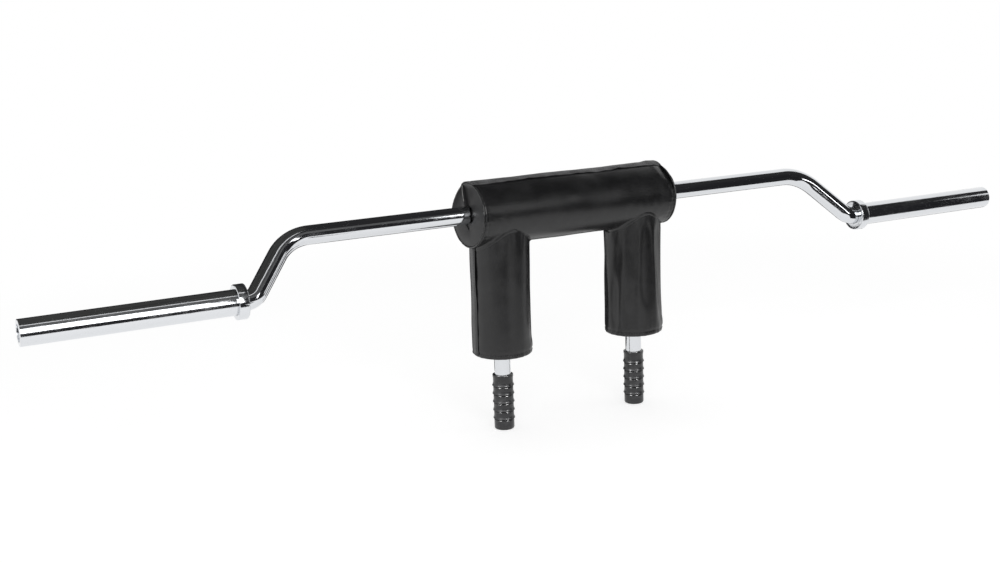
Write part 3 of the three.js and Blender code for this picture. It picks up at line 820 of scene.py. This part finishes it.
def vinyl_material(name, colour, light, roughness, grain_per_metre=420):
    """Coated upholstery vinyl: near black, satin, with a leather print. The print's real cells are
    1 mm across, too fine to show, so one of 2.4 mm and one three times coarser carry it. Wear and
    dust grey it a little, in clouds some 40 mm across."""
    material = blank(bpy.data.materials.new(name))
    place = add_node(material, "TexCoord").outputs["Object"]
    fine = add_node(material, "TexVoronoi", {"Vector": place, "Scale": grain_per_metre}, feature="F1")
    coarse = add_node(material, "TexNoise", {
        "Vector": place, "Scale": grain_per_metre / 3, "Detail": 3.0})
    cloud = add_node(material, "TexNoise", {
        "Vector": place, "Scale": 24.0, "Detail": 5.0, "Roughness": 0.6})
    share = add_node(material, "MapRange", {
        "Value": cloud, "From Min": 0.42, "From Max": 0.72, "To Min": 0.0, "To Max": 1.0})
    tone = add_node(material, "Mix", {0: share, 6: linear(colour), 7: linear(light)}, data_type="RGBA")
    gloss = add_node(material, "MapRange", {
        "Value": cloud, "From Min": 0.3, "From Max": 0.7,
        "To Min": roughness - 0.03, "To Max": roughness + 0.06})
    grain = add_node(material, "Bump", {
        "Height": fine.outputs["Distance"], "Strength": 0.12, "Distance": 0.00025})
    crease = add_node(material, "Bump", {
        "Height": coarse, "Strength": 0.12, "Distance": 0.0005, "Normal": grain})
    shader = add_node(material, "BsdfPrincipled", {
        "Base Color": tone.outputs[2], "Roughness": gloss, "IOR": 1.5, "Normal": crease})
    add_node(material, "OutputMaterial", {"Surface": shader})
    return material


cover_vinyl = vinyl_material("upholstery vinyl, black, satin", "#161617", "#232324", 0.31)
disc_vinyl = vinyl_material("end disc vinyl, black, satin", "#1B1B1C", "#2A2A2B", 0.44)
welt_vinyl = vinyl_material("welt vinyl, stretched smooth over cord", "#1E1E1F", "#2E2E2F", 0.2)
flap_vinyl = vinyl_material("closure vinyl, black, rubbed dull", "#444445", "#6C6C6D", 0.55)
# The slit's cut edge is drawn pale grey. Part of that is the vinyl's pale backing, and part is a painted
# highlight on that edge.
backing_and_highlight_vinyl = vinyl_material("cut edge of the vinyl, pale backing and painted highlight", "#8C8C8A", "#A8A8A6", 0.6)
finish_mesh(neck, cover_vinyl, 60)
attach(neck, "frame")
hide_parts("neck_cover", "neck_foam")
neck_skin = skin_of(neck)


def neck_reach(x, degrees):
    """The finished neck cover's radius at x and an angle."""
    return skin_reach(neck_skin, around(x, NECK_CAST, degrees), neck_axis(x)) or NECK_BODY


def thick_sheet(name, count, columns, place, wrap=False):
    """A closed sheet. Place gives its front and back point at a row and column; wrap joins its last
    column to its first."""
    pairs = [place(i, j) for i in range(count) for j in range(columns)]
    size, last = len(pairs), (count - 1) * columns
    front = bridged(equal_rings(count, columns), wrap)
    faces = front + [tuple(size + i for i in reversed(f)) for f in front]
    for j in range(columns if wrap else columns - 1):
        k = (j + 1) % columns
        faces.append((k, j, size + j, size + k))
        faces.append((last + j, last + k, size + last + k, size + last + j))
    if not wrap:
        for a in range(0, last, columns):
            b, c, d = a + columns, a + columns - 1, a + 2 * columns - 1
            faces += [(a, b, size + b, size + a), (d, c, size + c, size + d)]
    return mesh_piece(name, [front for front, back in pairs] + [back for front, back in pairs], faces)


def cord_mesh(path, radii, sides, closed):
    """Points and faces of a round cord of changing thickness along a path of points."""
    count = len(path)
    points = []
    for i, middle in enumerate(path):
        before = path[(i - 1) % count] if closed or i else path[0]
        after = path[(i + 1) % count] if closed or i < count - 1 else path[-1]
        along = (after - before).normalized()
        side = along.cross(Vector((0, 0, 1)) if abs(along.z) < 0.9 else Vector((1, 0, 0))).normalized()
        points += circle(middle, side, side.cross(along), radii[i], sides)
    rings = equal_rings(count, sides)
    if closed:
        return points, bridged(rings + rings[:1])
    return points, bridged(rings) + [tuple(reversed(rings[0])), tuple(rings[-1])]


THREAD_RADIUS = 0.00048
THREAD_SIDES = 6
STITCH_STEPS = 5
STITCH_SHARE = 0.64
sewing_thread = vinyl_material("bonded polyester thread, grey black", "#3C3C3E", "#5A5A5C", 0.5, 1800)


def stitched(name, place, count):
    """A row of lockstitches: count short arches of thread along a seam, where place gives the
    surface's point at a share of the way and a height off it."""
    points, faces = [], []
    for i in range(count):
        path, radii = [], []
        for k in range(STITCH_STEPS):
            arch = math.sin(math.pi * k / (STITCH_STEPS - 1))
            along = (i + (1 - STITCH_SHARE) / 2 + STITCH_SHARE * k / (STITCH_STEPS - 1)) / count
            path.append(place(along, THREAD_RADIUS * (1.2 * arch - 0.7)))
            radii.append(THREAD_RADIUS * (0.55 + 0.45 * arch))
        add_on(points, faces, *cord_mesh(path, radii, THREAD_SIDES, False))
    piece = mesh_piece(name, points, faces)
    finish_mesh(piece, sewing_thread, 80)
    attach(piece, "frame")
    return piece


SLIT_ANGLE = 25
SLIT_HALF_GAP = 0.0003
END_FACE = NECK_HALF - 0.0002
DISC_RIM = 0.0650
DISC_THICK = 0.0020
HOLE_HOLD = 0.045
DISC_DOME = 0.0022
DISC_RUMPLE = 0.0006
DISC_STEPS = 14
DISC_TURNS = 160
RIM_POWER = 8
HOLE_CORNERS = [
    (0.0, 0.0208), (0.0200, 0.0180), (0.0332, 0.0010), (0.0030, -0.0305), (-0.0140, -0.0165),
    (-0.0213, 0.0), (-0.0152, 0.0152),
]
WEDGE_WALL = 0.0060
WEDGE_PROUD = 0.0010
VALLEY_DEPTH = 0.0062
VALLEY_SPAN = 58
LOWER_HOLLOW = 0.0014
FACING_STEPS = 5
FACING_HOLE = 0.0194
FACING_LAP = 0.006
FACING_SINK = 0.0064
WELT_STEPS = 168
WELT_RADIUS = 0.0021
WELT_UNEVEN = 0.0006
WELT_PROUD = 0.0008
WELT_RIM = DISC_RIM + 0.0010
CUT_STEPS = 12
CUT_CURL = 0.0030
CUT_RADIUS = 0.0008
CUT_UNEVEN = 0.0003


def wrapped(degrees):
    """The same angle between -180 and 180."""
    return (degrees + 180) % 360 - 180


def hole_edge(degrees):
    """How far the disc's loose hole reaches at an angle: cut to a corner in front and one below."""
    turn = math.radians(wrapped(degrees))
    aim = Vector((-math.sin(turn), math.cos(turn)))
    for first, second in zip(HOLE_CORNERS, HOLE_CORNERS[1:] + HOLE_CORNERS[:1]):
        a, side = Vector(first), Vector(second) - Vector(first)
        cross = aim.x * side.y - aim.y * side.x
        if abs(cross) > 1e-9:
            reach = (a.x * side.y - a.y * side.x) / cross
            along = (a.x * aim.y - a.y * aim.x) / cross
            if reach > 0 and -1e-6 <= along <= 1 + 1e-6:
                return reach
    return HOLE_CORNERS[0][1]


def end_form(degrees, share, radius, sign):
    """How far an end disc's back stands out, from its hole at share 0 to its rim at 1: a slight dome,
    a proud wedge behind the slit, and a valley ahead of it."""
    turn = wrapped(degrees)
    dome = DISC_DOME * math.sin(math.pi * min(1.0, 0.25 + share * 0.75)) ** 0.8
    dome += DISC_RUMPLE * drift(radius * 40, math.radians(turn) * 2.2, sign * 3.0)
    behind = bump_at(degrees, SLIT_ANGLE, 26) * (1 - 0.3 * share)
    ahead = bump_at(degrees, SLIT_ANGLE + 360, VALLEY_SPAN) * (1 - 0.25 * share)
    out = dome + WEDGE_PROUD * behind - VALLEY_DEPTH * ahead
    return out - LOWER_HOLLOW * bump_at(abs(turn), 180, 50) * (1 - share) ** 2


neck_pieces = [neck]
for side, sign in (("left", -1), ("right", 1)):
    def disc_pair(i, j):
        degrees, share = SLIT_ANGLE + 360 * j / DISC_TURNS, i / DISC_STEPS
        inner = hole_edge(degrees)
        radius = inner + (DISC_RIM - inner) * share
        out = end_form(degrees, share, radius, sign) * (1 - share ** RIM_POWER)
        x = sign * (END_FACE + DISC_THICK + out)
        wall = WEDGE_WALL * bump_at(degrees, SLIT_ANGLE, 5)
        shift = SLIT_HALF_GAP / max(radius, 0.01)
        shift *= bump_at(degrees, SLIT_ANGLE, 8) - bump_at(degrees, SLIT_ANGLE + 360, 8)
        degrees += math.degrees(shift)
        return around(x, radius, degrees), around(x - sign * (DISC_THICK + wall), radius, degrees)

    disc = thick_sheet(side + "_end_disc", DISC_STEPS + 1, DISC_TURNS + 1, disc_pair)
    finish_mesh(disc, disc_vinyl, 40)
    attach(disc, "frame")
    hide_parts(side + "_neck_end_disc")

    def facing_pair(i, j):
        degrees = SLIT_ANGLE + 360 * j / DISC_TURNS
        radius = FACING_HOLE + (hole_edge(degrees) + FACING_LAP - FACING_HOLE) * i / FACING_STEPS
        near = sum(bump_at(degrees, SLIT_ANGLE + turn, VALLEY_SPAN) for turn in (360, 0))
        x = sign * (END_FACE - FACING_SINK * min(near, 1.0))
        return around(x, radius, degrees), around(x - sign * DISC_THICK, radius, degrees)

    facing = thick_sheet(side + "_hole_facing", FACING_STEPS + 1, DISC_TURNS, facing_pair, wrap=True)
    finish_mesh(facing, disc_vinyl, 40)
    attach(facing, "frame")

    turns = [360 * j / WELT_STEPS for j in range(WELT_STEPS)]
    path = [around(sign * (NECK_HALF + WELT_PROUD), WELT_RIM, degrees) for degrees in turns]
    radii = [
        WELT_RADIUS + WELT_UNEVEN * drift(math.radians(degrees) * 5, 0, sign * 2.0) for degrees in turns]
    welt = mesh_piece(side + "_neck_welt", *cord_mesh(path, radii, 10, True))
    finish_mesh(welt, welt_vinyl, 80)
    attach(welt, "frame")

    # A pale cord along the slit: the cut edge's backing, lightened into a painted highlight.
    inner = hole_edge(SLIT_ANGLE)
    path, radii = [], []
    for i in range(CUT_STEPS + 1):
        share = 0.25 + 0.73 * i / CUT_STEPS
        radius = inner + (DISC_RIM - inner) * share
        x = sign * (END_FACE + DISC_THICK + CUT_CURL * (1 - share ** RIM_POWER))
        path.append(around(x, radius, SLIT_ANGLE + 0.6 + 0.8 * drift(radius * 90, 0, 0)))
        radii.append(CUT_RADIUS + CUT_UNEVEN * drift(radius * 160, 0, 1))
    cut_edge = mesh_piece(side + "_slit_edge", *cord_mesh(path, radii, 8, False))
    finish_mesh(cut_edge, backing_and_highlight_vinyl, 80)
    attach(cut_edge, "frame")
    neck_pieces += [disc, facing, welt, cut_edge]

FLAP_FRONT = -18
FLAP_BACK = 30
FLAP_HALF = NECK_HALF + 0.0030
FLAP_ENDS = NECK_HALF - 0.004
FLAP_THICK = 0.0019
FLAP_CELLS = 150
FLAP_ACROSS = 14
FLAP_STITCHES = 80
FLAP_GAP = 0.0001
FLAP_LOOSE = 0.0011
FLAP_WAVE = 0.0010
FLAP_QUICK_WAVE = 0.0016
SEAM_SHARES = (0.11, 0.92)


def on_flap(x, share, height):
    """A point of the flap at a share of its width from the front edge, and a height in it."""
    wave, quick_wave = drift(x * 18, 0.7, 0), drift(x * 46, 4.2, 0)
    degrees = FLAP_FRONT + (FLAP_BACK - FLAP_FRONT) * share
    degrees += (1 - share) ** 3 * 2.2 * (wave + quick_wave)
    loose = FLAP_LOOSE + FLAP_QUICK_WAVE * quick_wave + FLAP_WAVE * wave
    lift = FLAP_GAP + (1 - share) ** 6 * max(0.0, loose)
    inside = max(-FLAP_ENDS, min(FLAP_ENDS, x))
    return around(x, neck_reach(inside, degrees) + lift + height, degrees)


def thinned(share, front, spread):
    """How much of a flap's thickness is left at a share of its width: both edges are pressed thin."""
    return 1 - front * bump_at(share, 0.0, spread) - 0.3 * bump_at(share, 1.0, spread)


def flap_pair(i, j):
    x, share = -FLAP_HALF + 2 * FLAP_HALF * i / FLAP_CELLS, j / FLAP_ACROSS
    return on_flap(x, share, FLAP_THICK * thinned(share, 0.45, 0.08)), on_flap(x, share, 0.0)


flap = thick_sheet("neck_closure_flap", FLAP_CELLS + 1, FLAP_ACROSS + 1, flap_pair)
finish_mesh(flap, flap_vinyl, 50)
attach(flap, "frame")
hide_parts("neck_closure")
neck_pieces.append(flap)
for name, share in zip(("front", "back"), SEAM_SHARES):
    def on_flap_seam(along, up):
        return on_flap((2 * along - 1) * NECK_HALF, share, FLAP_THICK + up)

    neck_pieces.append(stitched("neck_flap_stitches_" + name, on_flap_seam, FLAP_STITCHES))

END_SOFT_FROM = 0.178
LEAN_ANGLE = math.radians(60)
LEFT_PUSH = 0.0048
LEFT_LEAN = 0.0052
LEFT_TOP = 0.0050
RIGHT_PUSH = 0.0120


def settled(point):
    """Where a point of the neck pad comes to rest. Its soft ends aren't square: the left one leans
    in at its upper front, and the right one is pushed in along its top."""
    share = min(max((abs(point.x) - END_SOFT_FROM) / (NECK_HALF - END_SOFT_FROM), 0.0), 1.0) ** 1.3
    back, up = (point.y - shaft_y) / NECK_BODY, (point.z - shaft_z) / NECK_BODY
    degrees, rim = neck_angle(point), min(back * back + up * up, 1.0)
    push = -RIGHT_PUSH * bump_at(degrees, 5, 85) * rim
    if point.x < 0:
        push = LEFT_PUSH + LEFT_LEAN * (math.cos(LEAN_ANGLE) * up - math.sin(LEAN_ANGLE) * back)
        push += LEFT_TOP * bump_at(degrees, 42, 48) * rim
    return point + Vector((push * share, 0, 0))


for piece in neck_pieces:
    for vertex in piece.data.vertices:
        vertex.co = settled(vertex.co)
neck_skin = skin_of(neck)


# ---- Arm pads ----
# Vinyl tubes over foam, slipped up the handles. Each is sewn to the neck cover along a coped seam,
# closed by a flap on its outer side, and finished below with a disc sewn in by a visible stitch.
ARM_BODY = 0.0620
ARM_SWELL = 0.0020
ARM_SIDES = 92
ARM_CELLS = 46
ARM_CAP = 5
ARM_CAST = 0.11
ARM_HOLD = 0.012
ARM_COPE = NECK_BODY + 0.0024
SEAM_DROP = 0.0052
SEAM_UNEVEN = 0.0012
ARM_TUCK = 0.0060
ARM_FLAT = 0.004
ARM_FOOT_GAP = 0.0004
ARM_SLOW_WAVE = 0.0012
ARM_FINE_WAVE = 0.0004
FOOT_GATHER = 0.0012
FOOT_GATHER_REACH = 0.030
FOOT_GROOVE = 0.0010
FOOT_GROOVE_RISE = 0.0105
FOOT_GROOVE_SPREAD = 0.0035
FOOT_FLARE = 0.0016
FOOT_FLARE_RISE = 0.018
FOOT_FLARE_SPREAD = 0.020
TOP_GATHER = 0.0009
TOP_GATHER_REACH = 0.045
STUFFING = 0.0016
STUFFING_RISE = 0.03
STUFFING_SPREAD = 0.08
SKIRT_ROUND = 0.0095
SKIRT_THICK = 0.0010
SKIRT_SINK = 0.0003
SKIRT_TURN_IN = 0.0008
SKIRT_LAP = 0.0025
HEM_RISE = 0.0012
HEM_DROP = 0.0012
HEM_BITE = 0.0002
HEM_ROLL = 0.0007
HEM_TO_ROUND = 0.0010
SKIRT_STEPS = 10
SKIRT_SIDES = 144
ARM_FOOT_ROUND = 0.0042
ARM_SHIFT = 0.0019
ARM_LEAN = 0.0020
FOOT_DISC = 0.0555
FOOT_HOLE = HANDLE_RADIUS + 0.0006
FOOT_LAP = 0.0015
FOOT_THICK = 0.0018
FOOT_SAG = 0.0005
FOOT_UNEVEN = 0.0004
FOOT_LIFT = 0.0006
FOOT_STEPS = 8
FOOT_TURNS = 120
FOOT_SEAM = 0.0075
FOOT_STITCHES = 66
CLOSURE_AHEAD = 9
CLOSURE_BEHIND = -27
CLOSURE_THICK = 0.0018
CLOSURE_OPEN = 0.0022
CLOSURE_OPEN_Z = 0.345
CLOSURE_OPEN_SPREAD = 0.075
CLOSURE_LOOSE = 0.0004
CLOSURE_WAVE = 0.0012
CLOSURE_SEAM_SHARE = 0.14
CLOSURE_CELLS = 76
CLOSURE_ACROSS = 10
CLOSURE_STITCHES = 40


def arm_side(x0, radius, degrees, z):
    """A point round an arm pad, at degrees from its outer side toward the front."""
    turn = math.radians(degrees)
    outer = 1 if x0 > 0 else -1
    return Vector((x0 + outer * radius * math.cos(turn), shaft_y - radius * math.sin(turn), z))


def neck_height(point):
    """Where the neck pad's underside passes over a point in plan."""
    across = min(abs(point.y - shaft_y), ARM_COPE - 0.0004)
    return shaft_z - math.sqrt(ARM_COPE ** 2 - across ** 2)


def cope_height(point):
    """The seam where an arm's cover ends, a little below the neck pad."""
    return neck_height(point) - SEAM_DROP - SEAM_UNEVEN * drift(point.x * 22, point.y * 22, 6.3)


for side, outer, hem_front in (("left", -1, 38), ("right", 1, 118)):
    arm_low, arm_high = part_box(side + "_arm_cover")
    x0 = (arm_low.x + arm_high.x) / 2
    foot = arm_low.z + ARM_FOOT_GAP
    middle = Vector((x0, shaft_y))
    profile = [(foot, ARM_BODY * share) for share in (0.25, 0.5, 0.72, 0.88)]
    profile += rounded((foot, ARM_BODY), (foot, 0), (0.3, ARM_BODY), ARM_FOOT_ROUND, 3)
    low_z = profile[-1][0]
    points = [arm_side(x0, 0, 0, foot)]
    for z, radius in profile:
        points += [arm_side(x0, radius, 360 * j / ARM_SIDES, z) for j in range(ARM_SIDES)]
    # Its wall climbs to the foam's top, tucked up inside the skirt, and its cap closes over that.
    wall = [(ARM_BODY, i / ARM_CELLS) for i in range(1, ARM_CELLS + 1)]
    wall += [(ARM_BODY * (1 - i / ARM_CAP), 1.0) for i in range(1, ARM_CAP + 1)]
    for radius, share in wall:
        for j in range(ARM_SIDES if radius else 1):
            p = arm_side(x0, radius, 360 * j / ARM_SIDES, 0)
            p.z = low_z + (neck_height(p) + ARM_TUCK - low_z) * share
            points.append(p)
    rings = equal_rings(len(profile) + len(wall) - 1, ARM_SIDES, 1)
    faces = bridged([[0]] + rings)
    last = rings[-1]
    faces += [(len(points) - 1, last[j], last[(j + 1) % ARM_SIDES]) for j in range(ARM_SIDES)]
    arm = mesh_piece(side + "_arm_pad_cover", points, faces)

    def arm_hold(point):
        if (point.xy - middle).length < ARM_BODY - 0.0005 or point.z > cope_height(point):
            return 1.0
        return max(bump_at(point.z, foot, ARM_HOLD), bump_at(point.z, cope_height(point), ARM_HOLD))

    blown_up(arm, arm_hold, ARM_SWELL)

    def arm_relief(point):
        """Slow waves, gathers along the cope seam and the foot seam, and a slight flare at the foot."""
        flat = point.xy - middle
        if flat.length < ARM_BODY - ARM_FLAT:
            return 0.0
        degrees = math.degrees(math.atan2(flat.y, flat.x))
        slow = drift(point.x * 14, point.y * 14, point.z * 9 + outer) * ARM_SLOW_WAVE
        slow += drift(point.x * 34, point.y * 34, point.z * 22 + 5) * ARM_FINE_WAVE
        above, below = point.z - foot, cope_height(point) - point.z
        foot_gather = drift(degrees * 0.13, above * 20, outer * 4.0)
        foot_gather *= FOOT_GATHER * max(0.0, 1 - above / FOOT_GATHER_REACH) ** 1.5
        groove = -FOOT_GROOVE * bump_at(above, FOOT_GROOVE_RISE, FOOT_GROOVE_SPREAD)
        flare = FOOT_FLARE * bump_at(above, FOOT_FLARE_RISE, FOOT_FLARE_SPREAD)
        flare *= bump_at(degrees, -30, 50)
        top_gather = drift(degrees * 0.11, below * 18, outer * 7.0)
        top_gather *= TOP_GATHER * max(0.0, 1 - abs(below) / TOP_GATHER_REACH) ** 1.5
        stuffed = 0.0
        if outer > 0:
            stuffed = 0.6 + 0.6 * bump_at(above, STUFFING_RISE, STUFFING_SPREAD)
            stuffed *= STUFFING * bump_at(degrees, -20, 60)
        return slow + foot_gather + groove + flare + top_gather + stuffed

    stand_off(arm, arm_relief, lambda p: Vector((x0, shaft_y, p.z)))
    finish_mesh(arm, cover_vinyl, 60)
    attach(arm, "frame")
    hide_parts(side + "_arm_cover", side + "_arm_foam")
    arm_skin = skin_of(arm)

    def arm_reach(degrees, z):
        start = arm_side(x0, ARM_CAST, degrees, z)
        return skin_reach(arm_skin, start, Vector((x0, shaft_y, z))) or ARM_BODY

    def skirt_line(degrees):
        """Points and normals from the skirt's hem on the arm, up its hollow, to the neck pad."""
        out = (arm_side(x0, 1, degrees, 0) - arm_side(x0, 0, degrees, 0)).normalized()
        seam_z = cope_height(arm_side(x0, ARM_BODY + ARM_SWELL, degrees, 0)) - HEM_DROP
        radius = arm_reach(degrees, seam_z) - HEM_BITE + HEM_RISE * bump_at(degrees, hem_front, 75)
        fillet = SKIRT_ROUND * (1 - 0.8 * bump_at(wrapped(degrees), 0, 50))
        ball = Vector((x0, shaft_y, 0)) + out * (radius + fillet)
        across = ball.y - shaft_y
        lean = math.degrees(math.asin(max(-1, min(1, across / (NECK_BODY + fillet)))))
        reach = neck_reach(ball.x, 180 - lean) - SKIRT_SINK + fillet
        ball.z = shaft_z - math.sqrt(max(1e-8, reach ** 2 - across ** 2))
        to_neck = Vector((0, shaft_y - ball.y, shaft_z - ball.z)).normalized()
        seam_z = min(seam_z, ball.z - HEM_TO_ROUND)
        line = [
            (Vector((x0, shaft_y, seam_z)) + out * (radius - SKIRT_TURN_IN), out),
            (Vector((x0, shaft_y, seam_z + HEM_ROLL)) + out * radius, out),
        ]
        for i in range(SKIRT_STEPS + 1):
            aim = (-out).slerp(to_neck, i / SKIRT_STEPS)
            line.append((ball + aim * fillet, -aim))
        last = line[-1][0]
        return line + [(last + to_neck * SKIRT_LAP + (last - line[-2][0]), -to_neck)]

    lines = [skirt_line(360 * j / SKIRT_SIDES) for j in range(SKIRT_SIDES)]
    skirt = thick_sheet(
        side + "_neck_skirt", len(lines[0]), SKIRT_SIDES,
        lambda i, j: (lines[j][i][0], lines[j][i][0] - lines[j][i][1] * SKIRT_THICK), wrap=True)
    finish_mesh(skirt, cover_vinyl, 70)
    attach(skirt, "frame")

    def foot_pair(i, j):
        share, degrees = i / FOOT_STEPS, 360 * j / FOOT_TURNS
        radius = FOOT_HOLE + (FOOT_DISC + FOOT_LAP - HANDLE_RADIUS) * share
        sag = FOOT_SAG * math.sin(math.pi * share)
        sag += FOOT_UNEVEN * drift(radius * 60, degrees * 0.05, outer)
        z = arm_low.z + FOOT_LIFT - sag
        return arm_side(x0, radius, degrees, z), arm_side(x0, radius, degrees, z + FOOT_THICK)

    foot_disc = thick_sheet(side + "_foot_disc", FOOT_STEPS + 1, FOOT_TURNS, foot_pair, wrap=True)
    finish_mesh(foot_disc, disc_vinyl, 40)
    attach(foot_disc, "frame")
    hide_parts(side + "_arm_bottom_disc")

    flap_low, flap_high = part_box(side + "_arm_closure")

    def on_closure(along, share, height):
        """A point of the closure at shares of its length and of its width, and a height in it."""
        z = flap_low.z + (flap_high.z - flap_low.z) * along
        wave, quick_wave = drift(z * 16, outer * 2.3, 0), drift(z * 42, outer * 5.1, 0)
        degrees = CLOSURE_AHEAD + (CLOSURE_BEHIND - CLOSURE_AHEAD) * share
        degrees += (1 - share) ** 3 * (1.4 * wave + 0.7 * quick_wave)
        opened = CLOSURE_OPEN * bump_at(z, CLOSURE_OPEN_Z, CLOSURE_OPEN_SPREAD)
        loose = max(0.0, CLOSURE_LOOSE + CLOSURE_WAVE * quick_wave)
        lift = FLAP_GAP + opened * (1 - share) ** 4 + loose * (1 - share) ** 6
        return arm_side(x0, arm_reach(degrees, z) + lift + height, degrees, z)

    def closure_pair(i, j):
        along, share = i / CLOSURE_CELLS, j / CLOSURE_ACROSS
        thick = CLOSURE_THICK * thinned(share, 0.4, 0.12)
        return on_closure(along, share, thick), on_closure(along, share, 0.0)

    closure = thick_sheet(
        side + "_arm_closure_flap", CLOSURE_CELLS + 1, CLOSURE_ACROSS + 1, closure_pair)
    finish_mesh(closure, cover_vinyl, 50)
    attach(closure, "frame")
    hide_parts(side + "_arm_closure")

    def on_foot_seam(along, up):
        degrees, z = 360 * along, foot + FOOT_SEAM
        return arm_side(x0, arm_reach(degrees, z) + up, degrees, z)

    def on_closure_seam(along, up):
        return on_closure(along, CLOSURE_SEAM_SHARE, CLOSURE_THICK + up)

    foot_stitches = stitched(side + "_foot_stitches", on_foot_seam, FOOT_STITCHES)
    closure_stitches = stitched(side + "_closure_stitches", on_closure_seam, CLOSURE_STITCHES)

    if side == "left":
        for piece in (arm, skirt, closure, foot_disc, foot_stitches, closure_stitches):
            for vertex in piece.data.vertices:
                height = (vertex.co.z - foot) / (flap_high.z - foot)
                shift = ARM_SHIFT + ARM_LEAN * max(height, 0.0) ** 3
                if piece == foot_disc:
                    shift *= 1 - bump_at((vertex.co.xy - middle).length, 0.0, HOLE_HOLD)
                vertex.co.x += shift
